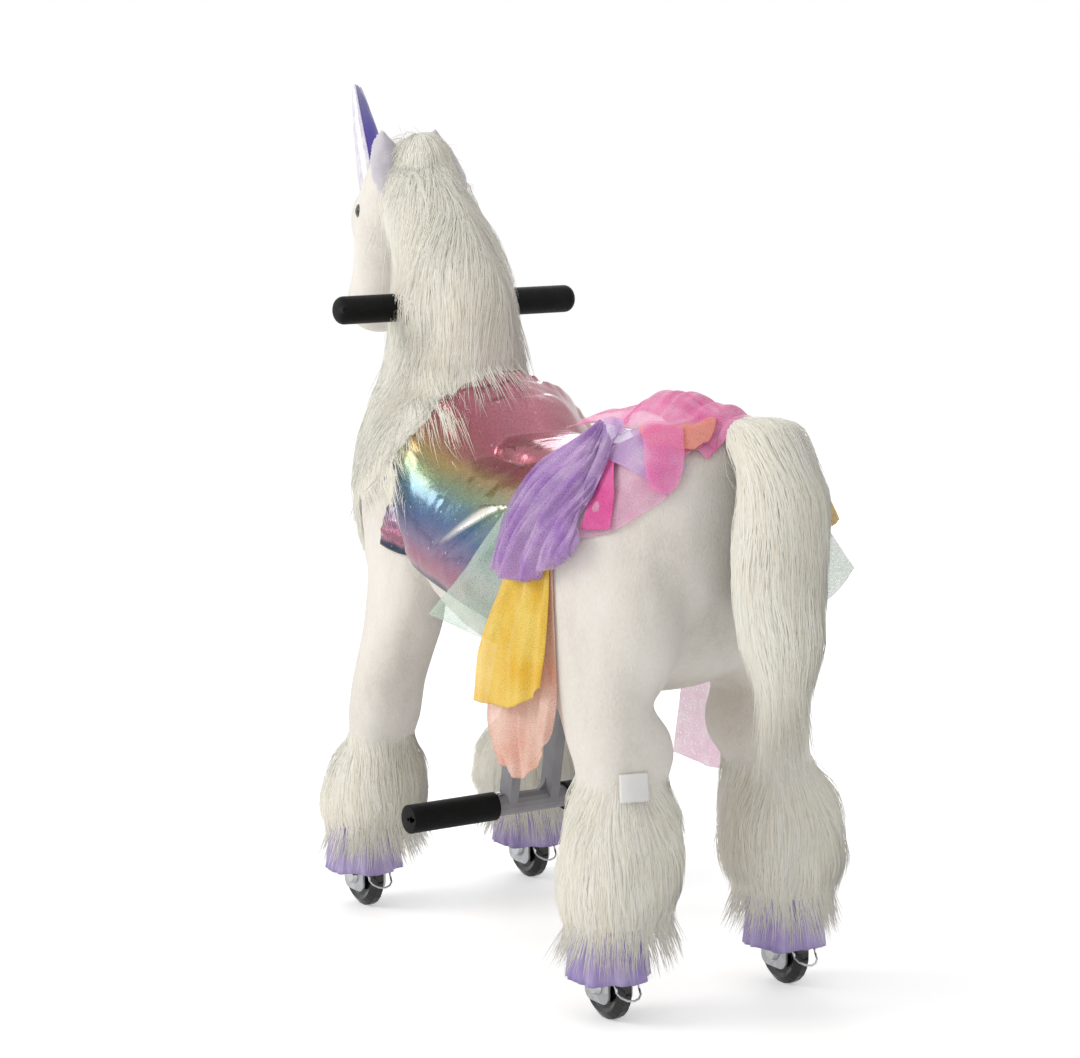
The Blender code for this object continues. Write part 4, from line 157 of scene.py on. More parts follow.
def relief(tree, shader, height, depth, strength=1.0):
    """A bump of that depth in metres from a height of 0 to 1."""
    bump = node(tree, "Bump", {"Height": height, "Distance": depth, "Strength": strength})
    tree.links.new(bump.outputs["Normal"], shader.inputs["Normal"])


def lamp(name, place, size, power, colour):
    """A round soft lamp that faces the animal."""
    light = bpy.data.lights.new(name, "AREA")
    light.shape, light.size, light.energy = "DISK", size, power
    light.color = linear(colour)[:3]
    made = bpy.data.objects.new(name, light)
    scene.collection.objects.link(made)
    made.location = place
    made.rotation_euler = (LAMP_AIM - Vector(place)).to_track_quat("-Z", "Y").to_euler()


# the room's share of full white as the object sees it, and the sweep's own glow to the camera
ROOM_LIGHT, SWEEP_GLOW = 0.66, 0.345
LAMP_AIM = Vector((0, 0.05, 0.35))
lamp("left softbox", (2.9, -1.3, 2.2), 1.9, 52, "FFFDF8")
lamp("front softbox", (-1.6, -2.6, 1.9), 1.6, 16, "F8FBFF")

world = bpy.data.worlds.new("white room")
scene.world = world
world.use_nodes = True
tree = world.node_tree
tree.nodes.clear()
path = node(tree, "LightPath").outputs
sees = node(tree, "Math", {0: path["Is Camera Ray"], 1: path["Is Glossy Ray"]}, operation="MAXIMUM")
sees = node(tree, "Math", {0: sees.outputs[0], 1: path["Is Transmission Ray"]}, operation="MAXIMUM")
level = node(tree, "MapRange", {"Value": sees.outputs[0], "To Min": ROOM_LIGHT, "To Max": 1.0})
room = node(tree, "Background", {"Color": linear("FFFFFF"), "Strength": level.outputs[0]})
node(tree, "OutputWorld", {"Surface": room.outputs[0]})

bpy.ops.mesh.primitive_plane_add(size=30, location=(0, 0, 0))
floor = bpy.context.object
floor.name = "floor"
paper = bpy.data.materials.new("white sweep paper")
paper.use_nodes = True
tree = paper.node_tree
tree.nodes.clear()
path = node(tree, "LightPath").outputs
tooth = ramp(tree, pattern(tree, "Noise", 900.0), (0.0, "FDFDFD"), (1.0, "FFFFFF"))
matt = node(tree, "BsdfDiffuse", {"Color": tooth}).outputs[0]
glow = node(tree, "Emission", {"Color": linear("FFFFFF"), "Strength": SWEEP_GLOW}).outputs[0]
lit = node(tree, "AddShader", {0: matt, 1: glow}).outputs[0]
both = node(tree, "MixShader", {0: path["Is Camera Ray"], 1: matt, 2: lit})
node(tree, "OutputMaterial", {"Surface": both.outputs[0]})
floor.data.materials.append(paper)

# Steel frame
# Welded steel tube and plate under grey powder coat; screws and the drag link are zinc plated; the
# handlebar, axles and wire guards are drawn bright steel.
CORNERS = [f"{end}_{hand}" for end in ("front", "rear") for hand in ("left", "right")]


def dress(material, *names):
    """Gives carried-over CAD nodes their real finish."""
    for name in names:
        for held in NODES[name].material_slots:
            held.material = material


powder, tree, shader = finish("grey powder coat", "989392", 0.42, Specular_IOR_Level=0.45)
paint(tree, shader, pattern(tree, "Noise", 30.0, 5.0), (0.3, "85848A"), (0.7, "97969A"))
# orange peel of the coat, about 2 mm from bump to bump
relief(tree, shader, pattern(tree, "Noise", 480.0), 0.0002, 0.5)
dress(powder, "seat_beam", "steering_post", "front_leg_frame", "rear_leg_frame", "foot_frame")

zinc, tree, shader = finish("zinc plated sheet steel", "C6C9CC", 0.30, Metallic=1.0)
# pale spangle about 6 mm across and fine scratches from the press
paint(tree, shader, pattern(tree, "Voronoi", 170.0, output="Color"), (0.0, "B7BABE"), (1.0, "D6D8DA"))
scratch = pattern(tree, "Noise", 260.0, 3.0, (1.0, 1.0, 14.0))
dull(tree, shader, scratch, 0.22, 0.42)
relief(tree, shader, scratch, 0.00008, 0.5)
dress(zinc, "drag_link", "foot_bar_screw", *[corner + "_wheel_fork" for corner in CORNERS])

bright, tree, shader = finish("drawn bright steel", "D6D8DA", 0.18, Metallic=1.0)
draw_marks = pattern(tree, "Noise", 500.0, stretch=(0.2, 3.0, 3.0))
dull(tree, shader, draw_marks, 0.12, 0.26)
paint(tree, shader, draw_marks, (0.2, "CDD0D2"), (0.8, "DDDFE0"))
dress(bright, "handlebar", *[corner + piece for corner in CORNERS for piece in ("_axle", "_hair_guard")])

spring, tree, shader = finish("oiled spring steel", "4C4F55", 0.35, Metallic=1.0)
paint(tree, shader, pattern(tree, "Noise", 120.0, 3.0), (0.3, "43464C"), (0.7, "5B5E64"))
dress(spring, "torsion_spring")

bronze, tree, shader = finish("sintered bronze", "A87B4A", 0.38, Metallic=1.0)
paint(tree, shader, pattern(tree, "Noise", 900.0), (0.3, "996D3F"), (0.7, "B88B58"))
dress(bronze, "steering_bush", "left_one_way_bearing", "right_one_way_bearing")

# Seat board and foam
# Birch plywood on the seat beam with a block of cut foam on it, both hidden inside the body.
birch, tree, shader = finish("birch plywood", "CBAA7A", 0.6)
growth = pattern(tree, "Wave", 60.0, 3.0, (1.0, 0.12, 1.0), more={"Distortion": 6.0}, bands_direction="X")
paint(tree, shader, growth, (0.1, "C29E6C"), (0.9, "D6B88B"))
relief(tree, shader, growth, 0.0001, 0.4)
dress(birch, "seat_board")

foam, tree, shader = finish("cut polyurethane foam", "EADFC2", 0.9)
cells = pattern(tree, "Voronoi", 700.0, output="Distance")
paint(tree, shader, cells, (0.0, "D9CDAE"), (0.6, "EFE6CC"))
relief(tree, shader, cells, 0.0006, 0.7)


def alone(thing):
    """Makes a piece the only selected and active one."""
    bpy.ops.object.select_all(action="DESELECT")
    thing.select_set(True)
    bpy.context.view_layer.objects.active = thing


def apply_all(thing):
    """Applies a piece's modifiers from first to last."""
    alone(thing)
    for modifier in list(thing.modifiers):
        bpy.ops.object.modifier_apply(modifier=modifier.name)


def new_piece(name, points, faces):
    """A piece made of points and the faces between them."""
    mesh = bpy.data.meshes.new(name)
    mesh.from_pydata([tuple(p) for p in points], [], [tuple(f) for f in faces])
    mesh.validate()
    piece = bpy.data.objects.new(name, mesh)
    scene.collection.objects.link(piece)
    return piece


def face_outwards(piece):
    """Turns all faces of a closed mesh outwards."""
    alone(piece)
    bpy.ops.object.mode_set(mode="EDIT")
    bpy.ops.mesh.select_all(action="SELECT")
    bpy.ops.mesh.normals_make_consistent(inside=False)
    bpy.ops.object.mode_set(mode="OBJECT")


def stuffed(name, nodes, voxel, smoothing, fillings=(), shrink=0.0):
    """One closed skin over several CAD solids and soft fillings, smoothed as stuffing rounds fabric."""
    work = bmesh.new()
    for n in nodes:
        work.from_mesh(NODES[n].data)
    for centre, radii in fillings:
        ball = Matrix.LocRotScale(Vector(centre), None, Vector(radii))
        bmesh.ops.create_icosphere(work, subdivisions=3, radius=1.0, matrix=ball)
    bmesh.ops.remove_doubles(work, verts=work.verts, dist=0.00002)
    mesh = bpy.data.meshes.new(name)
    work.to_mesh(mesh)
    work.free()
    piece = bpy.data.objects.new(name, mesh)
    scene.collection.objects.link(piece)
    remesh = piece.modifiers.new("remesh", "REMESH")
    remesh.mode, remesh.voxel_size, remesh.use_smooth_shade = "VOXEL", voxel, True
    relax = piece.modifiers.new("relax", "SMOOTH")
    relax.factor, relax.iterations = 0.5, smoothing
    if shrink:
        inward = piece.modifiers.new("draw in", "DISPLACE")
        inward.strength, inward.mid_level = -shrink, 0.0
    apply_all(piece)
    piece.data.materials.clear()
    piece.data.shade_smooth()
    return piece


def upholster(piece, material, name, body):
    """The cover of a padded piece, the CAD node that it replaces and the body that it rides on."""
    piece.data.materials.append(material)
    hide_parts(name)
    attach(piece, body)


pad = stuffed("seat_foam_pad", ["seat_foam"], 0.0025, 4)
upholster(pad, foam, "seat_foam", "seat_frame")

# Wheels
# Injection moulded polyurethane, glossy black, scuffed and dusty in patches.
moulded, tree, shader = finish("moulded black polyurethane", "0C0C0D", 0.16, Specular_IOR_Level=0.55,
                               Coat_Weight=0.35, Coat_Roughness=0.08)
scuff = pattern(tree, "Noise", 90.0, 6.0)
dull(tree, shader, scuff, 0.10, 0.30)
paint(tree, shader, scuff, (0.35, "080809"), (0.75, "18181A"))
dress(moulded, *[corner + "_wheel" for corner in CORNERS])

# Grips
# Closed-cell black foam sleeves: round-nosed ones on the handlebar, flat-ended ones on the foot bar.
sleeve, tree, shader = finish("closed-cell rubber foam", "070808", 0.62, Specular_IOR_Level=0.16,
                              Sheen_Weight=0.08, Sheen_Roughness=0.4)
paint(tree, shader, pattern(tree, "Noise", 70.0, 3.0), (0.3, "060606"), (0.7, "0F1010"))
relief(tree, shader, pattern(tree, "Voronoi", 900.0, output="Distance"), 0.0004, 0.6)
GRIP_SIDES = 48
GRIP_TUBE_HOLE = 0.0022      # radius of the hole in a foot grip's end
GRIP_HOLE_DEPTH = 0.004


def make_grip(name, body, nose, end_hole):
    """A foam sleeve in the place of its CAD node, its outer edge rounded by nose metres."""
    low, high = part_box(name)
    middle, radius = (low + high) / 2, (high.z - low.z) / 2
    outward = 1 if middle.x > 0 else -1
    bpy.ops.object.select_all(action="DESELECT")
    bpy.ops.mesh.primitive_cylinder_add(vertices=GRIP_SIDES, radius=radius, depth=high.x - low.x,
                                        location=middle, rotation=(0, math.pi / 2, 0))
    grip = bpy.context.object
    grip.name = name.replace("grip", "foam_grip")
    bpy.ops.object.transform_apply(location=True, rotation=True, scale=True)
    bpy.ops.object.mode_set(mode="EDIT")
    bpy.ops.mesh.select_all(action="DESELECT")
    work = bmesh.from_edit_mesh(grip.data)
    end = high.x if outward > 0 else low.x
    for face in work.faces:
        face.select_set(abs(face.calc_center_median().x - end) < 0.0001)
    work.select_flush_mode()
    if end_hole:
        bpy.ops.mesh.bevel(offset=nose, segments=3, profile=0.5, affect="EDGES")
        bpy.ops.mesh.select_all(action="DESELECT")
        work = bmesh.from_edit_mesh(grip.data)
        flat = [f for f in work.faces if abs(f.calc_center_median().x - end) < 0.0001 and len(f.verts) > 8]
        flat[0].select_set(True)
        bpy.ops.mesh.inset(thickness=radius - nose - GRIP_TUBE_HOLE)
        inwards = (-outward * GRIP_HOLE_DEPTH, 0, 0)
        bpy.ops.mesh.extrude_region_move(TRANSFORM_OT_translate={"value": inwards})
    else:
        bpy.ops.mesh.bevel(offset=nose, segments=7, profile=0.5, affect="EDGES")
    bpy.ops.object.mode_set(mode="OBJECT")
    face_outwards(grip)
    bpy.ops.object.shade_smooth_by_angle(angle=math.radians(40))
    upholster(grip, sleeve, name, body)


for hand in ("left", "right"):
    make_grip(f"{hand}_handle_grip", "front_end", 0.0088, False)
    make_grip(f"{hand}_foot_grip", "pedals", 0.0012, True)

# Plush skins
# Short warm-white pile, sewn into one skin over the stuffing: the body with the rear legs, and the
# chest, neck and head with the front legs.
plush, tree, shader = finish("short pile plush", "EDE7DF", 0.92, Specular_IOR_Level=0.25,
                             Sheen_Weight=0.35, Sheen_Roughness=0.6, Sheen_Tint=linear("FFFFFF"))
# pile tufts about 2 mm, drawn coarser than the real 1 mm so that they show; brushed patches 40 mm wide
tufts = pattern(tree, "Noise", 420.0, 4.0, (1.0, 1.0, 0.6), more={"Roughness": 0.65})
brushed = pattern(tree, "Noise", 26.0, 5.0, (1.0, 1.0, 0.5), more={"Roughness": 0.6})
tone = node(tree, "Mix", {0: 0.35, 2: brushed, 3: tufts}, data_type="FLOAT").outputs[0]
paint(tree, shader, tone, (0.32, "DCD5CC"), (0.5, "ECE6DD"), (0.72, "F6F2EB"))
nap = node(tree, "Mix", {0: 0.3, 2: tufts, 3: brushed}, data_type="FLOAT").outputs[0]
relief(tree, shader, nap, 0.0022, 0.6)


def smooth_step(value, low, high):
    """0 up to low, 1 from high, and a soft rise between them."""
    share = min(1.0, max(0.0, (value - low) / (high - low)))
    return share * share * (3 - 2 * share)


def draw_in(piece, depth):
    """Moves each point of a skin inwards by depth(point) metres."""
    normals = [v.normal.copy() for v in piece.data.vertices]
    for v, normal in zip(piece.data.vertices, normals):
        v.co -= normal * depth(v.co)
    piece.data.update()


def tree_of(*things):
    """A search tree over several meshes at once."""
    points, faces = [], []
    for thing in things:
        start = len(points)
        points += [v.co.copy() for v in thing.data.vertices]
        faces += [[start + i for i in p.vertices] for p in thing.data.polygons]
    return BVHTree.FromPolygons(points, faces)


SKIN_VOXEL = 0.0048
BOOT_DRAWN_IN = 0.0065
REAR_BOOT_TOP, FRONT_BOOT_TOP = 0.215, 0.180


def boot_depth(top):
    """How far the leg is drawn in under the boot's pile, as a function of the place."""
    return lambda p: BOOT_DRAWN_IN * (1 - smooth_step(p.z, top - 0.02, top + 0.03))


# the thighs and the shoulders are stuffed fuller than the solids, and the muzzle rounder
THIGHS = [((side * 0.078, 0.205, 0.375), (0.052, 0.092, 0.105)) for side in (1, -1)]
SHOULDERS = [((side * 0.078, -0.150, 0.375), (0.038, 0.066, 0.062)) for side in (1, -1)]
MUZZLE = ((0, -0.335, 0.690), (0.034, 0.034, 0.042))
REAR_NODES = ["torso_plush", "rear_left_leg_plush", "rear_right_leg_plush"]
FRONT_NODES = ["chest_plush", "neck_plush", "head_plush", "front_left_leg_plush", "front_right_leg_plush"]

rear_skin = stuffed("rear_skin", REAR_NODES, SKIN_VOXEL, 24, THIGHS)
draw_in(rear_skin, boot_depth(REAR_BOOT_TOP))


def seat_hollow(p):
    """The back sinks a little under the saddle, between the neck and the rump."""
    return 0.031 * math.exp(-((p.y + 0.014) / 0.056) ** 2) * smooth_step(p.z, 0.44, 0.53)


draw_in(rear_skin, seat_hollow)
front_skin = stuffed("front_skin", FRONT_NODES, SKIN_VOXEL, 10, SHOULDERS + [MUZZLE])
draw_in(front_skin, boot_depth(FRONT_BOOT_TOP))

GRIP_AXIS_Y, GRIP_AXIS_Z = -0.18877, 0.613


def grip_dent(p):
    """The pile lies flat where the handlebar's grips come out of the neck."""
    apart = math.hypot(p.y - GRIP_AXIS_Y - 0.012, p.z - GRIP_AXIS_Z)
    return 0.019 * math.exp(-(apart / 0.032) ** 2) * smooth_step(abs(p.x), 0.015, 0.03)


draw_in(front_skin, grip_dent)

for piece in (rear_skin, front_skin):
    piece.data.materials.append(plush)
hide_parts(*REAR_NODES)
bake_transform(rear_skin)
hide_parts(*FRONT_NODES)
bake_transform(front_skin)

# Long fur
# Cream-white acrylic pile, 30 to 130 mm long, combed downwards: a mane over the left of the neck, a
# tuft between the ears, the tail and the four boots. Each patch is a backing with strands on it.
fur, tree, shader = finish("long acrylic pile", "FCF9EC", 0.5, Specular_IOR_Level=0.35,
                           Sheen_Weight=0.9, Sheen_Roughness=0.6, Sheen_Tint=linear("FFFDF6"))
# fine clear strands let most light through to those below, so they shade each other little
path = node(tree, "LightPath").outputs
strays = node(tree, "Math", {0: path["Is Shadow Ray"], 1: path["Is Diffuse Ray"]}, operation="MAXIMUM")
clear = node(tree, "MapRange", {"Value": strays.outputs[0], "To Min": 1.0, "To Max": 0.12})
tree.links.new(clear.outputs[0], shader.inputs["Alpha"])
tint = node(tree, "Attribute", attribute_name="tint").outputs["Fac"]
stain = pattern(tree, "Noise", 22.0, 3.0, (1.0, 1.0, 0.35))
tone = node(tree, "Mix", {0: 0.45, 2: stain, 3: tint}, data_type="FLOAT").outputs[0]
paint(tree, shader, tone, (0.25, "F1E9D4"), (0.5, "FCF8E9"), (0.8, "FFFEF6"))

backing, tree, shader = finish("knitted fur backing", "F0ECE2", 0.8, Specular_IOR_Level=0.2,
                               Sheen_Weight=0.3, Sheen_Roughness=0.5)
# strands seen as streaks 2 mm apart down the piece
streak = pattern(tree, "Noise", 380.0, 4.0, (1.0, 1.0, 0.06), more={"Roughness": 0.7})
stain = pattern(tree, "Noise", 22.0, 3.0, (1.0, 1.0, 0.35))
tone = node(tree, "Mix", {0: 0.4, 2: streak, 3: stain}, data_type="FLOAT").outputs[0]
paint(tree, shader, tone, (0.3, "E2DCCC"), (0.5, "F1EDE3"), (0.75, "FFFEFA"))
relief(tree, shader, streak, 0.003, 0.8)

STRAND_TAPER = np.array([1.0, 0.95, 0.85, 0.7, 0.45, 0.0])     # its radius down a strand, as a share
STRAND_RINGS = len(STRAND_TAPER)
STRAND_RADIUS = 0.00045
# the noise that bends the strands into locks starts from a set place, so each run grows the same fur
noise.seed_set(1)


def grow(name, under, count, density, heading, length, lift, seed, wander, pitch, over=()):
    """Closed three-sided strands on a backing.

    density(point) is 0 to 1, heading(point) the way they are combed, length and lift a least and a
    most in metres, wander how far neighbouring strands gather in locks, pitch how many locks there
    are to a metre, over the other pieces that the strands lie on.
    """
    rng = np.random.default_rng(seed)
    mesh = under.data
    mesh.calc_loop_triangles()
    points = np.array([v.co for v in mesh.vertices])
    corners = np.array([t.vertices for t in mesh.loop_triangles])
    a, b, c = points[corners[:, 0]], points[corners[:, 1]], points[corners[:, 2]]
    area = np.linalg.norm(np.cross(b - a, c - a), axis=1)
    weight = area * np.array([density(Vector(p)) for p in (a + b + c) / 3])
    chosen = rng.choice(len(corners), 2 * count, p=weight / weight.sum())
    u, v = rng.random((2, 2 * count, 1))
    outside = (u + v) > 1
    u, v = np.where(outside, 1 - u, u), np.where(outside, 1 - v, v)
    roots = a[chosen] * (1 - u - v) + b[chosen] * u + c[chosen] * v
    search = tree_of(under, *over)
    # no strand starts where the backing lies against another piece
    starts, leans = [], []
    for root, corner in zip(roots, chosen):
        out = mesh.loop_triangles[corner].normal
        if search.ray_cast(Vector(root) + out * 0.0008, out, 0.014)[0] is None:
            starts.append(root)
            leans.append(out.copy())
    count = min(count, len(starts))
    lengths = rng.uniform(length[0], length[1], count)
    lifts = rng.uniform(lift[0], lift[1], count)
    stray = rng.normal(0, 0.07, (count, 3))
    rows = np.zeros((count, STRAND_RINGS, 3))
    ways = np.zeros((count, STRAND_RINGS, 3))
    faces_out = np.zeros((count, STRAND_RINGS, 3))
    for k in range(count):
        place, shown = Vector(starts[k]), leans[k]
        step = lengths[k] / (STRAND_RINGS - 1)
        offset = Vector(stray[k])
        lock = 0.7 + 0.6 * noise.noise(place * pitch + Vector((5, 3, 1)))
        way = None
        for ring in range(STRAND_RINGS):
            near, normal, _, _ = search.find_nearest(place)
            if normal.dot(shown) < 0.1:
                normal = shown
            shown = (shown * 0.5 + normal * 0.5).normalized()
            share = ring / (STRAND_RINGS - 1)
            flow = heading(place).normalized()
            flow = flow + noise.noise_vector(place * pitch) * wander + offset
            loose = normal.z < -0.45
            if not loose:
                flow -= normal * flow.dot(normal)
            flow.normalize()
            if way is not None:
                flow = (flow + way * 0.8).normalized()
            target = lifts[k] * lock * (0.08 + 0.92 * math.sin(math.pi * 0.55 * min(1.0, share * 1.4)))
            if not loose:
                height = (place - near).dot(normal)
                place = place + normal * (target - height) * (1.0 if height < target else 0.6)
            rows[k, ring], ways[k, ring], faces_out[k, ring] = place, flow, shown
            way = flow
            place = place + flow * step
    flat = ways / np.linalg.norm(ways, axis=2, keepdims=True)
    side = np.cross(flat, np.array([0.3, 0.5, 0.8]))
    side /= np.linalg.norm(side, axis=2, keepdims=True)
    other = np.cross(flat, side)
    thicks = STRAND_RADIUS * rng.uniform(0.7, 1.2, count)[:, None, None] * STRAND_TAPER[None, :, None]
    thirds = (0.0, 2 * math.pi / 3, 4 * math.pi / 3)
    spokes = [side * math.cos(t) + other * math.sin(t) for t in thirds]
    solid = np.stack([rows + thicks * spoke for spoke in spokes], axis=2)[:, :-1].reshape(count, -1, 3)
    every = np.concatenate([solid, rows[:, -1:, :]], axis=1)
    # pile scatters light as one soft surface, so its shading leans to the surface under it
    leaning = np.stack([spoke * 0.45 + faces_out * 0.75 for spoke in spokes], axis=2)
    leaning = np.concatenate([leaning[:, :-1].reshape(count, -1, 3), faces_out[:, -1:, :]], axis=1)
    leaning = leaning.reshape(-1, 3)
    leaning /= np.linalg.norm(leaning, axis=1, keepdims=True) + 1e-9
    per = every.shape[1]
    rings = STRAND_RINGS - 1
    walls = []
    for ring in range(rings - 1):
        for t in range(3):
            p, q = ring * 3 + t, ring * 3 + (t + 1) % 3
            walls.append((p, q, q + 3, p + 3))
    quads = (np.array(walls)[None] + (np.arange(count) * per)[:, None, None]).reshape(-1, 4)
    last = (rings - 1) * 3
    caps = np.array([(last + t, last + (t + 1) % 3, per - 1) for t in range(3)] + [(0, 2, 1)])
    caps = (caps[None] + (np.arange(count) * per)[:, None, None]).reshape(-1, 3)
    made = bpy.data.meshes.new(name)
    made.vertices.add(count * per)
    made.vertices.foreach_set("co", every.astype(np.float32).ravel())
    made.loops.add(quads.size + caps.size)
    made.loops.foreach_set("vertex_index", np.concatenate([quads.ravel(), caps.ravel()]).astype(np.int32))
    made.polygons.add(len(quads) + len(caps))
    starts = np.concatenate([np.arange(len(quads)) * 4, quads.size + np.arange(len(caps)) * 3])
    made.polygons.foreach_set("loop_start", starts.astype(np.int32))
    made.update(calc_edges=True)
    made.validate()
    shade = made.attributes.new("tint", "FLOAT", "POINT")
    shade.data.foreach_set("value", np.repeat(rng.random(count), per).astype(np.float32))
    made.shade_smooth()
    made.normals_split_custom_set_from_vertices(leaning.tolist())
    made.materials.append(fur)
    piece = bpy.data.objects.new(name, made)
    scene.collection.objects.link(piece)
    return piece


# Boots
# The lower part of each leg: long pile from the shin down over the satin cuff.
BOOT_STRANDS = 4600
ANKLE_X, CUFF_TOP_Z = 0.092, 0.082
AXLES_Y = {"front": -0.20877, "rear": 0.23723}
for end, legs, top in (("front", front_skin, FRONT_BOOT_TOP), ("rear", rear_skin, REAR_BOOT_TOP)):
    for hand, side in (("left", 1), ("right", -1)):
        ankle = Vector((side * ANKLE_X, AXLES_Y[end], 0))

        def density(p, side=side, top=top):
            if p.x * side < 0.0 or p.z > top + 0.006:
                return 0.0
            return 1.0 if p.z > CUFF_TOP_Z else 0.4

        def heading(p, ankle=ankle):
            out = Vector((p.x - ankle.x, p.y - ankle.y, 0)).normalized()
            return Vector((0, 0, -1)) + out * (0.10 + 0.28 * (1 - smooth_step(p.z, 0.08, 0.15)))

        boot = grow(f"{end}_{hand}_boot_fur", legs, BOOT_STRANDS, density, heading, (0.030, 0.052),
                    (0.004, 0.0115), 20 + len(end) + side, 0.3, 30.0)
        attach(boot, f"{end}_legs")

# Hoof cuffs
# Lilac satin sewn round the ankle and flaring over the wheel, gathered into soft folds.
satin, tree, shader = finish("polyester satin", "B7A4DB", 0.34, Specular_IOR_Level=0.5,
                             Sheen_Weight=0.3, Sheen_Roughness=0.3, Sheen_Tint=linear("E6DBFA"),
                             Anisotropic=0.4)
cloud = pattern(tree, "Noise", 60.0, 3.0, (1.0, 1.0, 0.3))
paint(tree, shader, cloud, (0.3, "9482BE"), (0.55, "AE9CD0"), (0.75, "CABFE4"))
threads = pattern(tree, "Wave", 300.0, more={"Distortion": 1.5}, bands_direction="Z")
relief(tree, shader, threads, 0.00012, 0.4)
CUFF_SIDES, CUFF_ROWS, CUFF_CLOTH = 144, 10, 0.0009
CUFF_TUCK = 0.012            # how far the cuff goes up under the pile
CUFF_RADIUS, CUFF_FLARE, CUFF_FOLD = 0.0335, 0.0040, 0.0016


def declare_sheet(piece, rows, columns):
    points = np.array([v.co for v in piece.data.vertices])[:rows * columns].reshape(rows, columns, 3)
    a, b = points[1:, :-1] - points[:-1, :-1], points[:-1, 1:] - points[:-1, :-1]
    c, d = points[1:, :-1] - points[1:, 1:], points[:-1, 1:] - points[1:, 1:]
    area = (np.linalg.norm(np.cross(a, b), axis=2) + np.linalg.norm(np.cross(c, d), axis=2)).sum() / 2


def grid_faces(rows, columns, around=False):
    """The faces of a grid of points; around joins its last column to its first."""
    faces = []
    for r in range(rows - 1):
        for c in range(columns if around else columns - 1):
            here, right = r * columns + c, r * columns + (c + 1) % columns
            faces.append((here, right, right + columns, here + columns))
    return faces


def cloth_grid(name, points, rows, columns, around=False):
    """A smooth sheet over a grid of points."""
    piece = new_piece(name, points, grid_faces(rows, columns, around))
    piece.data.shade_smooth()
    return piece


def thicken(piece, cloth, offset=0.0):
    """Gives a sheet the thickness of its cloth."""
    wall = piece.modifiers.new("cloth", "SOLIDIFY")
    wall.thickness, wall.offset = cloth, offset
    apply_all(piece)


for corner in CORNERS:
    end, hand = corner.split("_")
    name = corner + "_hoof_cuff"
    low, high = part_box(name)
    middle, top = (low + high) / 2, high.z + CUFF_TUCK
    phase = 1.7 * (len(end) + (hand == "left"))
    points = []
    for row in range(CUFF_ROWS):
        share = row / (CUFF_ROWS - 1)
        z = top - (top - low.z) * share
        for k in range(CUFF_SIDES):
            turn = 2 * math.pi * k / CUFF_SIDES
            fold = (math.sin(9 * turn + phase) + 0.5 * math.sin(17 * turn + 2 * phase)
                    + 0.3 * math.sin(31 * turn))
            radius = CUFF_RADIUS + CUFF_FLARE * share ** 1.3 + CUFF_FOLD * fold * (0.25 + 0.75 * share)
            drop = 0.0012 * math.sin(5 * turn + phase) * share
            points.append((middle.x + radius * math.cos(turn), middle.y + radius * math.sin(turn),
                           z + drop))
    cuff = cloth_grid(name + "_satin", points, CUFF_ROWS, CUFF_SIDES, around=True)
    thicken(cuff, CUFF_CLOTH)
    face_outwards(cuff)
    cuff.data.materials.append(satin)
    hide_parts(name)
    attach(cuff, f"{end}_legs")


# Mane
# A long strip of pile sewn along the crest and combed over the left side of the neck and chest.
def fur_backing(name, body, voxel, smoothing, shrink):
    """The knitted backing of a patch of fur, in the place of its CAD node."""
    piece = stuffed(name + "_backing", [name], voxel, smoothing, shrink=shrink)
    upholster(piece, backing, name, body)
    return piece


mane = fur_backing("mane", "front_end", 0.0035, 8, 0.002)
draw_in(mane, lambda p: 0.8 * grip_dent(p))

# the saddle's front edge, over which the mane falls: its y low on the flank, and where it starts to rise
SADDLE_FRONT_Y, SLOPE_LOW_Z = -0.1372, 0.435


def mane_way(p):
    """Down, and forwards below the grip, round the front of the chest."""
    forward = -0.30 * (1 - smooth_step(p.z, 0.50, 0.62)) - 0.05
    back = 0.55 * smooth_step(p.y, -0.17, -0.12) * (1 - smooth_step(p.z, 0.54, 0.60))
    return Vector((0.22 if p.x < 0.03 else 0.05, forward + back, -1.0))


def mane_cover(p):
    """Nowhere on the right side of the neck."""
    return 0.0 if p.x < -0.03 else 1.0


def mane_crest(p):
    """Dense along the crest and thin elsewhere."""
    return 1.0 if p.x < 0.03 and p.z > 0.52 else 0.05


for name, count, density, length, lift, seed in (
        ("mane_fur_under", 5200, mane_cover, (0.035, 0.060), (0.002, 0.007), 3),
        ("mane_fur_over", 5600, mane_cover, (0.060, 0.105), (0.004, 0.011), 4),
        ("mane_fur_crest", 2400, mane_crest, (0.080, 0.130), (0.004, 0.012), 5)):
    lot = grow(name, mane, count, density, mane_way, length, lift, seed, 0.42, 20.0, [front_skin])
    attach(lot, "front_end")

# Topknot
# A tuft between the ears that stands up and falls back on the crest.
knot = fur_backing("topknot", "front_end", 0.003, 5, 0.002)
low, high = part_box("topknot")
crown = Vector(((low.x + high.x) / 2, (low.y + high.y) / 2, high.z))


def crown_way(p):
    """Away from the middle of the crown, back and down."""
    return Vector((p.x - crown.x, p.y - crown.y, 0)) * 16 + Vector((0.05, 0.20, -1.0))


def crown_cover(p):
    """Thinner in front of the crown."""
    return 1.0 if p.y > crown.y - 0.012 else 0.45


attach(grow("topknot_fur", knot, 2800, crown_cover, crown_way, (0.032, 0.058), (0.003, 0.010), 6, 0.22,
             40.0, [mane]), "front_end")

# Tail
# A thick switch of the same pile, sewn at the top of the rump and hanging free.
tail = fur_backing("tail", "seat_frame", 0.004, 8, 0.003)


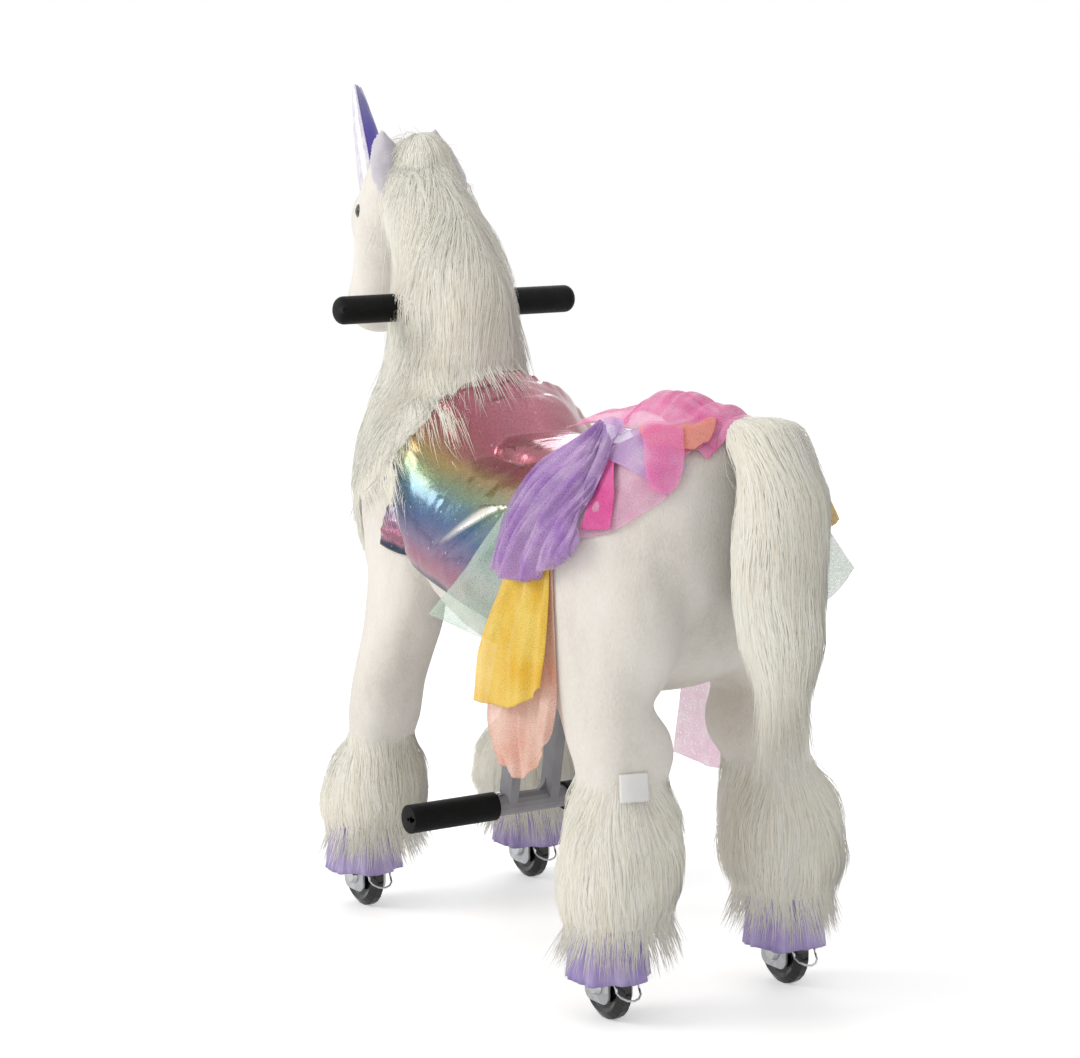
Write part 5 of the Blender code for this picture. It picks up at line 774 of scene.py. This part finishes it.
def tail_way(p):
    """Back over the rump at the top, then down and a little outwards."""
    back = smooth_step(p.z, 0.49, 0.545)
    return Vector((p.x * 1.5, 0.9 * back + 0.05, -1.0 + 0.35 * back))


for name, count, length, lift, seed in (("tail_fur_under", 4600, (0.035, 0.060), (0.002, 0.006), 7),
                                        ("tail_fur_over", 5200, (0.060, 0.100), (0.004, 0.012), 8)):
    lot = grow(name, tail, count, lambda p: 1.0, tail_way, length, lift, seed, 0.35, 22.0)
    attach(lot, "seat_frame")

# Ears
# Stuffed leaves of lilac-grey clipped pile, each one made wider and taller than its CAD node.
velvet, tree, shader = finish("clipped velvet pile", "D8D2DC", 0.85, Sheen_Weight=0.4,
                              Sheen_Roughness=0.5, Specular_IOR_Level=0.25)
paint(tree, shader, pattern(tree, "Noise", 45.0, 3.0), (0.3, "CBC4D0"), (0.7, "E4DFE6"))
relief(tree, shader, pattern(tree, "Noise", 700.0, 3.0), 0.0008, 0.6)
EAR_WIDER, EAR_DEEPER, EAR_TALLER, EAR_LEAN = 1.6, 1.7, 1.45, 0.16
for name in ("left_ear", "right_ear"):
    ear = stuffed(name + "_plush", [name], 0.0012, 6)
    low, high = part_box(name)
    top = Vector(((low.x + high.x) / 2, (low.y + high.y) / 2, high.z))
    for v in ear.data.vertices:
        off = v.co - top
        v.co = top + Vector((off.x * EAR_WIDER, off.y * EAR_DEEPER - off.z * EAR_LEAN, off.z * EAR_TALLER))
    upholster(ear, velvet, name, "front_end")

# Horn
# A stuffed cone of two foil panels, purple behind and pearl in front, piped along the seams.
foil, tree, shader = finish("purple lamé foil", "4B3F93", 0.28, Metallic=0.75, Coat_Weight=0.4,
                            Coat_Roughness=0.12)
coords = node(tree, "TexCoord").outputs["Object"]
rise = node(tree, "SeparateXYZ", {"Vector": coords}).outputs["Z"]
rise = node(tree, "MapRange", {"Value": rise, "From Min": 0.72, "From Max": 0.83}).outputs[0]
body_tone = ramp(tree, rise, (0.0, "46349A"), (0.55, "5F55A6"), (0.85, "7C78A8"), (1.0, "9A98B2"))
flake = pattern(tree, "Voronoi", 1400.0, output="Color")
spark = ramp(tree, flake, (0.45, "808080"), (1.0, "C8C8C8"))
tree.links.new(node(tree, "Mix", {0: 0.35, 6: body_tone, 7: spark}, data_type="RGBA",
                    blend_type="SOFT_LIGHT").outputs[2], shader.inputs["Base Color"])
relief(tree, shader, pattern(tree, "Noise", 160.0, 3.0, (1.0, 1.0, 0.6)), 0.0009, 0.5)

pearl, tree, shader = finish("pearl lamé foil", "E3DFEA", 0.30, Metallic=0.35, Coat_Weight=0.5,
                             Coat_Roughness=0.15)
crinkle = pattern(tree, "Noise", 160.0, 3.0, (1.0, 1.0, 0.6))
paint(tree, shader, crinkle, (0.3, "D5D0DF"), (0.7, "F1EFF5"))
relief(tree, shader, crinkle, 0.0009, 0.5)

piping, tree, shader = finish("satin piping", "DCD3EE", 0.4, Sheen_Weight=0.2)
twist = pattern(tree, "Wave", 500.0, bands_direction="DIAGONAL")
paint(tree, shader, twist, (0.0, "CABFE3"), (1.0, "EAE4F6"))

HORN_LEAN = math.radians(22.5)
HORN_ALONG = Vector((0, -math.sin(HORN_LEAN), math.cos(HORN_LEAN)))
HORN_ROOT = Vector((0, -0.34577, 0.722))
HORN_LENGTH, HORN_RADIUS, PIPING_RADIUS = 0.118, 0.019, 0.0009
HORN_SIDES, HORN_ROWS, PIPING_STEPS = 48, 40, 30
# (share of the length, share of the radius at the root)
HORN_SHARES = ((0.0, 1.00), (0.16, 0.90), (0.32, 0.79), (0.585, 0.63), (0.763, 0.47), (0.88, 0.34),
               (0.95, 0.22), (0.985, 0.12))
SEAM_TURNS = (math.radians(50), math.radians(170))    # from the left side, towards the back
SEAM_PINCH, SEAM_WIDTH = 0.0007, 0.12                 # metres deep, radians wide
horn_side = Vector((1, 0, 0))
horn_back = HORN_ALONG.cross(horn_side).normalized()


def horn_point(share, turn, out):
    """A place on the horn, out metres off its cone."""
    radius = HORN_SHARES[-1][1] * HORN_RADIUS
    for (s0, r0), (s1, r1) in zip(HORN_SHARES, HORN_SHARES[1:]):
        if share <= s1:
            radius = (r0 + (r1 - r0) * (share - s0) / (s1 - s0)) * HORN_RADIUS
            break
    wave = 0.0006 * noise.noise(Vector((share * 9, turn * 1.5, 2)))
    return (HORN_ROOT + HORN_ALONG * share * HORN_LENGTH
            + (horn_side * math.cos(turn) + horn_back * math.sin(turn)) * (radius + out + wave))


turns = [2 * math.pi * k / HORN_SIDES for k in range(HORN_SIDES)]
pinches = [-SEAM_PINCH * max(math.exp(-((turn - seam) / SEAM_WIDTH) ** 2) for seam in SEAM_TURNS)
           for turn in turns]
points = [horn_point(r / HORN_ROWS, turn, pinch)
          for r in range(HORN_ROWS) for turn, pinch in zip(turns, pinches)]
faces = grid_faces(HORN_ROWS, HORN_SIDES, around=True)
tip = len(points)
points.append(HORN_ROOT + HORN_ALONG * HORN_LENGTH)
faces += [(tip - HORN_SIDES + k, tip - HORN_SIDES + (k + 1) % HORN_SIDES, tip) for k in range(HORN_SIDES)]
faces.append(tuple(range(HORN_SIDES))[::-1])
horn = new_piece("horn_cone", points, faces)
upholster(horn, foil, "horn", "front_end")
horn.data.materials.append(pearl)
for face in horn.data.polygons:
    off = face.center - HORN_ROOT
    off -= HORN_ALONG * off.dot(HORN_ALONG)
    turn = math.atan2(off.dot(horn_back), off.dot(horn_side))
    face.material_index = 0 if SEAM_TURNS[0] < turn < SEAM_TURNS[1] else 1
face_outwards(horn)
horn.data.shade_smooth()

for number, turn in enumerate(SEAM_TURNS):
    name = f"horn_piping_{number + 1}"
    curve = bpy.data.curves.new(name, "CURVE")
    curve.dimensions, curve.bevel_depth, curve.bevel_resolution = "3D", PIPING_RADIUS, 2
    curve.use_fill_caps = True
    line = curve.splines.new("POLY")
    line.points.add(PIPING_STEPS)
    for step, point in enumerate(line.points):
        point.co = (*horn_point(0.06 + 0.9 * step / PIPING_STEPS, turn, 0.0003), 1.0)
    drawn = bpy.data.objects.new(name + "_line", curve)
    scene.collection.objects.link(drawn)
    bpy.context.view_layer.update()
    mesh = bpy.data.meshes.new_from_object(drawn.evaluated_get(bpy.context.evaluated_depsgraph_get()))
    bpy.data.objects.remove(drawn)
    mesh.name = name
    mesh.materials.clear()
    mesh.materials.append(piping)
    mesh.shade_smooth()
    seam = bpy.data.objects.new(name, mesh)
    scene.collection.objects.link(seam)
    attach(seam, "front_end")

# Eyes
# Domed black acrylic, pushed into the head.
eye, tree, shader = finish("cast black acrylic", "050505", 0.05, Coat_Weight=1.0, Coat_Roughness=0.02,
                           IOR=1.49)
paint(tree, shader, pattern(tree, "Noise", 90.0), (0.3, "030303"), (0.8, "16110D"))
dress(eye, "left_eye", "right_eye")

# Saddle
# Printed foil fabric over a thin lining, glued glitter on it, pulled tight over the back and gathered
# along the front edge. The rainbow's stripes run along the animal, red on the back, blue at the flank.
SADDLE_REAR_Y, SLOPE_HIGH_Z, SLOPE_RUN = 0.1012, 0.560, 0.0565
SADDLE_AXIS_Z, SADDLE_SIDE = 0.400, 0.1272
HEM_FRONT_Z, HEM_REAR_Z = 0.385, 0.325
SADDLE_ROWS, SADDLE_COLUMNS = 154, 256
SADDLE_PROUD, SADDLE_OFF_PILE, SADDLE_CLOTH = 0.0006, 0.0034, 0.0010
trunk = tree_of(rear_skin, front_skin)


def shell_point(y, turn):
    """The saddle's outer face from its axis, at an angle from the top."""
    centre = Vector((0, y, SADDLE_AXIS_Z))
    way = Vector((math.sin(turn), 0, math.cos(turn)))
    reach = 0.0
    hit = trunk.ray_cast(centre + way * 0.5, -way)[0]
    if hit is not None:
        reach = (hit - centre).dot(way) + SADDLE_OFF_PILE
    return centre + way * (reach if reach > 0 else 0.13)


def hem_turn(y):
    """The angle from the top at which the saddle's hem lies."""
    share = (y - SADDLE_FRONT_Y) / (SADDLE_REAR_Y - SADDLE_FRONT_Y)
    hem = HEM_FRONT_Z + (HEM_REAR_Z - HEM_FRONT_Z) * share
    return math.atan2(SADDLE_SIDE, hem - SADDLE_AXIS_Z)


# creases as the photograph shows them: (start, end) in the picture, half-width and height in metres
CREASES = (((455, 522), (560, 436), 0.0060, 0.0042), ((436, 548), (528, 476), 0.0055, 0.0040),
           ((430, 500), (468, 455), 0.0035, 0.0018), ((470, 440), (545, 412), 0.0060, 0.0022),
           ((520, 398), (575, 428), 0.0050, 0.0030),
           ((480, 560), (540, 500), 0.0050, 0.0026))
FULL_RIDGE = 0.0040
crease_lines = [(seen(*start, 0.125), seen(*stop, 0.118), wide, tall)
                for start, stop, wide, tall in CREASES]
crease_lines += [(Vector((-a.x, a.y, a.z)), Vector((-b.x, b.y, b.z)), wide, tall)
                 for a, b, wide, tall in crease_lines]


def crease_height(p):
    """Ridge height of the foil at a point: a full fold on one side and a sharp drop on the other."""
    total = 0.0
    for start, stop, wide, tall in crease_lines:
        along = stop - start
        share = (p - start).dot(along) / along.length_squared
        if -0.1 < share < 1.1:
            off = p - start - along * share
            across = off.z / wide
            if off.length < 4 * wide:
                bell = math.exp(-across * across) - 0.6 * math.exp(-((across + 1.7) / 0.9) ** 2)
                total += tall * bell * math.sin(math.pi * min(1.0, max(0.0, (share + 0.1) / 1.2)))
    return total


columns, rows = SADDLE_COLUMNS, SADDLE_ROWS
base = np.zeros((rows, columns, 3))
coarse = [(-1 + 2 * c / (columns - 1)) for c in range(columns)]
for c, v in enumerate(coarse):
    guess = shell_point(-0.10, v * hem_turn(-0.10))
    climb = min(1.0, max(0.0, (guess.z - SLOPE_LOW_Z) / (SLOPE_HIGH_Z - SLOPE_LOW_Z)))
    front = SADDLE_FRONT_Y + climb * SLOPE_RUN
    for r in range(rows):
        y = front + (SADDLE_REAR_Y - front) * r / (rows - 1)
        base[r, c] = shell_point(y, v * hem_turn(y))
for _ in range(10):
    inner = base[1:-1, 1:-1]
    base[1:-1, 1:-1] = inner * 0.5 + (base[:-2, 1:-1] + base[2:, 1:-1] + base[1:-1, :-2]
                                      + base[1:-1, 2:]) * 0.125
lengthways, sideways = np.gradient(base, axis=(0, 1))
normal = np.cross(sideways, lengthways)
normal /= np.linalg.norm(normal, axis=2, keepdims=True)
outward = base - np.array([0, 0, SADDLE_AXIS_Z])
outward[:, :, 1] = 0
normal *= np.sign((normal * outward).sum(axis=2, keepdims=True))
points, ridges = [], []
for r in range(rows):
    for c in range(columns):
        p, n = Vector(base[r, c]), Vector(normal[r, c])
        ridge = crease_height(p)
        ridges.append(ridge / FULL_RIDGE)
        share = r / (rows - 1)
        v = abs(coarse[c])
        puff = 0.0010 * (1 + noise.noise(Vector((p.x * 16, p.y * 16, p.z * 22)))) * math.sin(math.pi * share)
        gather = 0.0010 * math.exp(-share / 0.06) * math.sin(coarse[c] * 95 + 4 * noise.noise(p * 40))
        crinkle = 0.0004 * noise.noise(Vector((p.x * 55, p.y * 90, p.z * 55)))
        crest = 0.0008 * math.exp(-(v / 0.2) ** 2) * noise.noise(Vector((p.x * 30, p.y * 160, p.z * 40)))
        # the gathered edge stands up against the back of the neck
        collar = max(0.0, 1 - share / 0.15) ** 1.3 * max(0.0, 1 - (v / 0.42) ** 2)
        p += Vector((0, -0.006, 0.024)) * collar
        lift = SADDLE_PROUD + max(-0.0004, puff + gather + crinkle + crest + ridge)
        edge = min(1.0, (1 - v) / 0.05)
        points.append(p + n * (lift * (0.3 + 0.7 * edge)))
saddle = cloth_grid("saddle_foil", points, rows, columns)
bands = saddle.data.attributes.new("band", "FLOAT", "POINT")
bands.data.foreach_set("value", np.tile(np.abs(coarse), rows).astype(np.float32))
# the fold heights, which the foil's material uses to paint pale highlights along the creases
folds = saddle.data.attributes.new("fold", "FLOAT", "POINT")
folds.data.foreach_set("value", np.array(ridges, dtype=np.float32))

print_foil, tree, shader = finish("rainbow foil fabric", "8899AA", 0.26, Metallic=0.70, Coat_Weight=0.6,
                                  Coat_Roughness=0.08, Specular_IOR_Level=0.6)
band = node(tree, "Attribute", attribute_name="band").outputs["Fac"]
fold = node(tree, "Attribute", attribute_name="fold").outputs["Fac"]
drift = node(tree, "MapRange", {"Value": pattern(tree, "Noise", 14.0), "To Min": -0.05, "To Max": 0.05})
band = node(tree, "Math", {0: band, 1: drift.outputs[0]}, operation="ADD").outputs[0]
stripe = ramp(tree, band, (0.0, "C98090"), (0.26, "AE5D6C"), (0.38, "A86464"), (0.48, "B39458"),
              (0.57, "8A9C74"), (0.65, "557A88"), (0.74, "4C6895"), (0.83, "86749E"), (0.91, "AE6C88"),
              (0.965, "B57C90"), (0.985, "3C4560"), (1.0, "303A52"))
dots = pattern(tree, "Voronoi", 900.0, output="Color")
lit_dots = ramp(tree, dots, (0.2, "6E6E6E"), (0.9, "B0B0B0"))
toned = node(tree, "Mix", {0: 0.5, 6: stripe, 7: lit_dots}, data_type="RGBA", blend_type="OVERLAY")
# painted highlight: the sharp folds are painted pale cream, standing in for the light they catch
painted_ridge_highlight = node(tree, "MapRange", {"Value": fold, "From Min": 0.35, "From Max": 0.85, "To Max": 0.85})
ridge_highlit_print = node(tree, "Mix", {0: painted_ridge_highlight.outputs[0], 6: toned.outputs[2], 7: linear("F3EEE4")},
            data_type="RGBA")
glints = pattern(tree, "Voronoi", 520.0, output="Color")
fleck = node(tree, "MapRange", {"Value": glints, "From Min": 0.93, "From Max": 1.0})
tree.links.new(node(tree, "Mix", {0: fleck.outputs[0], 6: ridge_highlit_print.outputs[2], 7: linear("F4F4FA")},
                    data_type="RGBA").outputs[2], shader.inputs["Base Color"])
dull(tree, shader, dots, 0.14, 0.34)
relief(tree, shader, pattern(tree, "Noise", 240.0, 5.0), 0.0005, 0.45)
saddle.data.materials.append(print_foil)
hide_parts("saddle")
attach(saddle, "seat_frame")
declare_sheet(saddle, rows, columns)
thicken(saddle, SADDLE_CLOTH, -1.0)


# Mane over the saddle
# The mane's lower half, spread over the left of the chest and the saddle's gathered front edge.
def mane_over_chest(p):
    """The left of the chest, which the mane's lower half covers, up to the saddle's front edge."""
    edge = SADDLE_FRONT_Y + max(0.0, p.z - SLOPE_LOW_Z) * 0.45
    on_chest = p.x > -0.01 and -0.262 < p.y < edge + 0.004 and p.z < 0.590
    near_edge = 1.6 * smooth_step(p.y - edge, -0.035, 0.0)
    return smooth_step(p.z, 0.455, 0.480) * (1.0 + near_edge) if on_chest else 0.0


def chest_way(p):
    """Down, and back over the saddle's edge."""
    return Vector((0.10, -0.10 + 0.85 * smooth_step(p.y, -0.20, -0.13), -1.0))


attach(grow("mane_fur_chest", front_skin, 6800, mane_over_chest, chest_way, (0.045, 0.085),
             (0.005, 0.013), 2, 0.42, 20.0, [saddle]), "front_end")

# Tulle strips
# Soft nylon net in eight colours, cut with a plain edge, knotted on a waist ribbon behind the saddle
# and gathered so that it stands off the flanks. Each strip is one sheet laid out from a few places.
TULLES = {}
for name, pale, full, solid in (("purple", "E8CBF4", "C696E2", 0.31), ("pink", "FFB4D9", "FF86C4", 0.38),
                                ("mint", "D9E7DA", "B9D2C0", 0.28), ("yellow", "FFE071", "F6C738", 0.62),
                                ("peach", "FCD8C8", "F7B9A2", 0.48), ("magenta", "F778BE", "E8509F", 0.62),
                                ("coral", "FFB9AA", "FF9585", 0.55), ("blush", "F9D9EA", "F3B2D6", 0.34)):
    net, tree, shader = finish(f"{name} nylon net", full, 0.6, Sheen_Weight=0.35, Sheen_Roughness=0.4,
                               Specular_IOR_Level=0.3)
    cloud = pattern(tree, "Noise", 34.0, 3.0)
    paint(tree, shader, cloud, (0.32, full), (0.68, pale))
    # mesh holes drawn 2 mm wide, coarser than the real 1 mm, so that they show
    holes = pattern(tree, "Voronoi", 520.0, output="Distance", feature="DISTANCE_TO_EDGE")
    thread = node(tree, "MapRange", {"Value": holes, "From Min": 0.0, "From Max": 0.45,
                                     "To Min": min(1.0, solid + 0.2), "To Max": solid - 0.14})
    tree.links.new(thread.outputs[0], shader.inputs["Alpha"])
    relief(tree, shader, holes, 0.0003, 0.4)
    TULLES[name] = net

TULLE_CLOTH, TULLE_ROWS, TULLE_COLUMNS = 0.0003, 38, 50
body_tree = tree_of(rear_skin, saddle)


def spline(points, share):
    """A smooth line through points, at a share of their number."""
    count = len(points) - 1
    place = min(count - 1e-6, max(0.0, share * count))
    k, t = int(place), place - int(place)
    p = [points[min(count, max(0, k + d))] for d in (-1, 0, 1, 2)]
    return (p[1] * 2 + (p[2] - p[0]) * t + (p[0] * 2 - p[1] * 5 + p[2] * 4 - p[3]) * t * t
            + (p[1] * 3 - p[0] - p[2] * 3 + p[3]) * t * t * t) * 0.5


def tied(across, down, x=None):
    """A place of the picture on the body, or off it at x; a place in metres stays as it is."""
    if abs(across) < 1:
        return Vector((across, down, x))
    if x is not None:
        return seen(across, down, x)
    hit, out, _, _ = body_tree.ray_cast(VIEW_PLACE, sight(across, down))
    if hit is None:
        hit, out, _, _ = body_tree.find_nearest(seen(across, down, 0.05))
    return hit + out * 0.004


def strip(name, net, folds, depth, clear, seed, ruffle=0.35, mirror=False, replaced=None):
    """One sheet of net over a net of places, with folds across it that deepen down its length.

    The name starts with its colour. net holds rows from the tied end to the free edge, of places in
    metres, or of places in the picture: (across, down) on the body, (across, down, x) off it. folds is
    how many pleats lie side by side, depth their height, clear the least distance from the body.
    """
    places = [[tied(*place) for place in row] for row in net]
    if mirror:
        places = [[Vector((-p.x, p.y, p.z)) for p in row] for row in places]
    pts = []
    for r in range(TULLE_ROWS):
        lines = [[spline(row, c / (TULLE_COLUMNS - 1)) for row in places] for c in range(TULLE_COLUMNS)]
        pts.append([list(spline(line, r / (TULLE_ROWS - 1))) for line in lines])
    pts = np.array(pts)
    normal = np.cross(np.gradient(pts, axis=1), np.gradient(pts, axis=0))
    normal /= np.linalg.norm(normal, axis=2, keepdims=True) + 1e-12
    away = 1.0 if normal[:, :, 0].mean() * (-1 if mirror else 1) > 0 else -1.0
    points = []
    for r in range(TULLE_ROWS):
        v = r / (TULLE_ROWS - 1)
        for c in range(TULLE_COLUMNS):
            u = c / (TULLE_COLUMNS - 1)
            p, n = Vector(pts[r, c]), Vector(normal[r, c]) * away
            drift = 1.4 * noise.noise(Vector((u * 2.2, v * 1.3, seed * 3.7)))
            wave = (math.sin(2 * math.pi * folds * u + drift * 2 + seed)
                    + ruffle * math.sin(2 * math.pi * folds * 2.3 * u + 5 * v + seed * 2))
            wave += 0.5 * noise.noise(Vector((u * 4, v * 4, seed * 7.1)))
            p = p + n * (depth * (0.25 + 0.75 * v) * wave * 0.6)
            near, out, _, far = body_tree.find_nearest(p)
            height = (p - near).dot(out)
            if far < 0.03 and height < clear:
                p = p + out * (clear - height)
            points.append(p)
    sheet = cloth_grid("tulle_" + name, points, TULLE_ROWS, TULLE_COLUMNS)
    colour = name.split("_")[0]
    sheet.data.materials.append(TULLES[colour])
    if replaced:
        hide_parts(replaced)
    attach(sheet, "seat_frame")
    declare_sheet(sheet, TULLE_ROWS, TULLE_COLUMNS)
    thicken(sheet, TULLE_CLOTH)


MINT = (((546, 466), (560, 478), (580, 492)),
        ((505, 518), (530, 528), (556, 540)),
        ((466, 568, 0.130), (500, 586, 0.131), (538, 602, 0.132)),
        ((429, 614, 0.134), (478, 637, 0.135), (532, 655, 0.136)))
PEACH = (((515, 560, 0.126), (535, 556, 0.126), (556, 556, 0.127)),
         ((498, 640, 0.129), (528, 640, 0.129), (556, 636, 0.129)),
         ((487, 712, 0.130), (520, 718, 0.130), (553, 712, 0.130)),
         ((500, 764, 0.131), (524, 779, 0.131), (547, 742, 0.131)))
YELLOW = (((517, 540, 0.129), (534, 536, 0.129), (550, 540, 0.130)),
          ((498, 588, 0.134), (523, 590, 0.135), (549, 596, 0.134)),
          ((479, 645, 0.138), (511, 648, 0.140), (545, 648, 0.138)),
          ((476, 700, 0.140), (511, 708, 0.142), (541, 688, 0.140)))
PURPLE = (((0.064, 0.170, 0.535), (0.070, 0.184, 0.534), (616, 452)),
          ((572, 440, 0.096), (586, 466, 0.110), (600, 492)),
          ((538, 466, 0.117), (556, 502, 0.127), (584, 520)),
          ((512, 506, 0.128), (534, 542, 0.136), (575, 538, 0.137)),
          ((494, 566, 0.134), (524, 582, 0.141), (566, 556, 0.140)))
PURPLE_REAR = (((0.060, 0.184, 0.538), (616, 440), (612, 464)),
               ((634, 430), (640, 448), (632, 472)),
               ((662, 440), (668, 462), (654, 484)),
               ((684, 462), (684, 474), (668, 497)))
PURPLE_LOOP = (((0.062, 0.172, 0.538), (0.060, 0.186, 0.541), (0.058, 0.198, 0.540)),
               ((602, 440, 0.088), (611, 442, 0.084), (621, 448)),
               ((594, 462, 0.104), (602, 466, 0.104), (612, 470)),
               ((578, 502, 0.122), (584, 508), (592, 510)))
MAGENTA = (((601, 458), (610, 458), (620, 460)),
           ((595, 492), (606, 494), (618, 494)),
           ((585, 531), (599, 532), (613, 530)))
BLUSH = (((600, 462), (640, 462), (684, 470)),
         ((590, 505), (628, 496), (674, 486)),
         ((574, 541), (614, 532), (668, 499)))
CORAL = (((640, 430), (680, 420), (716, 424)),
         ((644, 440), (684, 434), (714, 434)),
         ((652, 452), (688, 454), (708, 447)))
PINK = (((634, 430), (668, 418), (700, 416), (722, 416)),
        ((632, 436), (666, 426), (702, 424), (722, 422)),
        ((638, 444), (672, 442), (702, 438), (722, 432)),
        ((650, 458), (676, 462), (694, 454), (708, 448)))
PINK_LOBE = (((644, 428), (662, 425), (682, 422)),
             ((648, 452), (668, 450), (685, 446)),
             ((650, 476), (668, 476), (685, 468)),
             ((654, 492), (668, 496), (680, 486)))
CREST = (((0.052, 0.175, 0.530), (0.050, 0.215, 0.530), (0.046, 0.255, 0.524), (0.040, 0.300, 0.512)),
         ((0.028, 0.176, 0.550), (0.022, 0.214, 0.560), (0.014, 0.255, 0.553), (0.006, 0.304, 0.543)),
         ((0.000, 0.176, 0.552), (-0.006, 0.214, 0.560), (-0.012, 0.255, 0.553), (-0.022, 0.302, 0.542)),
         ((-0.046, 0.172, 0.532), (-0.048, 0.210, 0.532), (-0.048, 0.250, 0.524), (-0.050, 0.296, 0.510)))
WAIST = (((0.060, 0.104, 0.522), (0.028, 0.100, 0.531), (-0.005, 0.098, 0.533), (-0.040, 0.100, 0.529),
          (-0.086, 0.104, 0.500)),
         ((0.058, 0.140, 0.530), (0.028, 0.140, 0.541), (-0.005, 0.140, 0.544), (-0.040, 0.140, 0.539),
          (-0.086, 0.140, 0.508)),
         ((0.056, 0.178, 0.532), (0.028, 0.180, 0.543), (-0.005, 0.182, 0.547), (-0.040, 0.180, 0.541),
          (-0.086, 0.178, 0.508)))
CORNER = (((-0.118, 0.165, 0.470), (-0.115, 0.200, 0.480), (-0.108, 0.238, 0.478)),
          ((-0.132, 0.175, 0.430), (-0.134, 0.215, 0.430), (-0.124, 0.254, 0.441)),
          ((-0.138, 0.185, 0.375), (-0.142, 0.235, 0.360), (-0.143, 0.278, 0.397)))
CORNER_INNER = (((-0.112, 0.200, 0.490), (-0.108, 0.225, 0.490), (-0.102, 0.250, 0.485)),
                ((-0.126, 0.210, 0.460), (-0.126, 0.238, 0.462), (-0.120, 0.266, 0.468)),
                ((-0.134, 0.220, 0.430), (-0.134, 0.250, 0.432), (-0.128, 0.276, 0.444)))
BELLY = (((-0.112, 0.066, 0.330), (-0.114, 0.100, 0.330), (-0.114, 0.134, 0.330)),
         ((-0.104, 0.062, 0.255), (-0.108, 0.099, 0.255), (-0.104, 0.136, 0.255)),
         ((-0.098, 0.060, 0.188), (-0.102, 0.099, 0.182), (-0.098, 0.138, 0.186)))

strip("mint_left", MINT, 1.2, 0.0020, 0.0040, 1, replaced="tulle_mint")
strip("mint_right", MINT, 1.2, 0.0020, 0.0040, 2, mirror=True)
strip("peach_left", PEACH, 3.2, 0.0050, 0.0025, 3, replaced="tulle_peach")
strip("peach_right", PEACH, 3.2, 0.0050, 0.0025, 4, mirror=True)
strip("yellow_left", YELLOW, 2.6, 0.0055, 0.0040, 5, replaced="tulle_yellow")
strip("yellow_right", YELLOW, 2.6, 0.0055, 0.0040, 6, mirror=True)
strip("blush_left", BLUSH, 1.5, 0.0020, 0.0015, 7)
strip("magenta_left", MAGENTA, 0.8, 0.0014, 0.0062, 8)
strip("purple_left", PURPLE, 5.2, 0.0120, 0.0055, 9, 0.5, replaced="tulle_purple")
strip("purple_left_over", PURPLE, 3.6, 0.0140, 0.0090, 21, 0.8)
strip("purple_right", PURPLE, 3.4, 0.0085, 0.0055, 10, 0.5, mirror=True)
strip("purple_rear_left", PURPLE_REAR, 2.0, 0.0050, 0.0070, 11)
strip("purple_rear_right", PURPLE_REAR, 2.0, 0.0050, 0.0070, 12, mirror=True)
strip("purple_loop", PURPLE_LOOP, 1.1, 0.0060, 0.0100, 13)
strip("coral_top", CORAL, 2.5, 0.0060, 0.0085, 14)
strip("pink_lobe", PINK_LOBE, 1.6, 0.0050, 0.0105, 22)
strip("pink_left", PINK, 3.2, 0.0060, 0.0060, 15, 0.6, replaced="tulle_pink")
strip("pink_right", PINK, 3.2, 0.0060, 0.0060, 16, 0.6, mirror=True)
strip("pink_crest", CREST, 3.6, 0.0060, 0.0050, 17, 0.6)
strip("pink_waist", WAIST, 4.0, 0.0040, 0.0040, 23, 0.6)
strip("mint_rear_right", CORNER, 1.2, 0.0030, 0.0020, 18)
strip("yellow_rear_right", CORNER_INNER, 1.2, 0.0030, 0.0020, 19)
strip("blush_belly", BELLY, 1.6, 0.0040, 0.0010, 20)

# Sewn-in tab
# A blank folded satin ribbon in the seam above the rear left boot; the photograph's one is printed,
# and this one is left bare.
ribbon, tree, shader = finish("white satin ribbon", "F4F2F0", 0.45, Sheen_Weight=0.2)
weave = pattern(tree, "Wave", 420.0, bands_direction="Z")
paint(tree, shader, weave, (0.0, "E9E6E4"), (1.0, "FAF9F8"))
relief(tree, shader, weave, 0.0001, 0.4)
TAB_GRID, TAB_CLOTH = 14, 0.0006
# where the picture shows its upper left corner, its side there, and how far it slants
TAB_ACROSS, TAB_DOWN, TAB_SIDE, TAB_SLANT, TAB_RISE = 619, 775, 29, 1.5, 3
leg_tree = tree_of(rear_skin)
points = []
for r in range(TAB_GRID):
    share = r / (TAB_GRID - 1)
    for c in range(TAB_GRID):
        across = TAB_ACROSS + TAB_SIDE * c / (TAB_GRID - 1) + TAB_SLANT * r / TAB_GRID
        down = TAB_DOWN + TAB_SIDE * r / (TAB_GRID - 1) - TAB_RISE * c / TAB_GRID
        ray = sight(across, down)
        points.append(leg_tree.ray_cast(VIEW_PLACE, ray)[0] - ray * (0.002 + 0.007 * share ** 1.5))
tab = cloth_grid("sewn_in_tab", points, TAB_GRID, TAB_GRID)
tab.data.materials.append(ribbon)
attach(tab, "rear_legs")
declare_sheet(tab, TAB_GRID, TAB_GRID)
thicken(tab, TAB_CLOTH, -1.0)
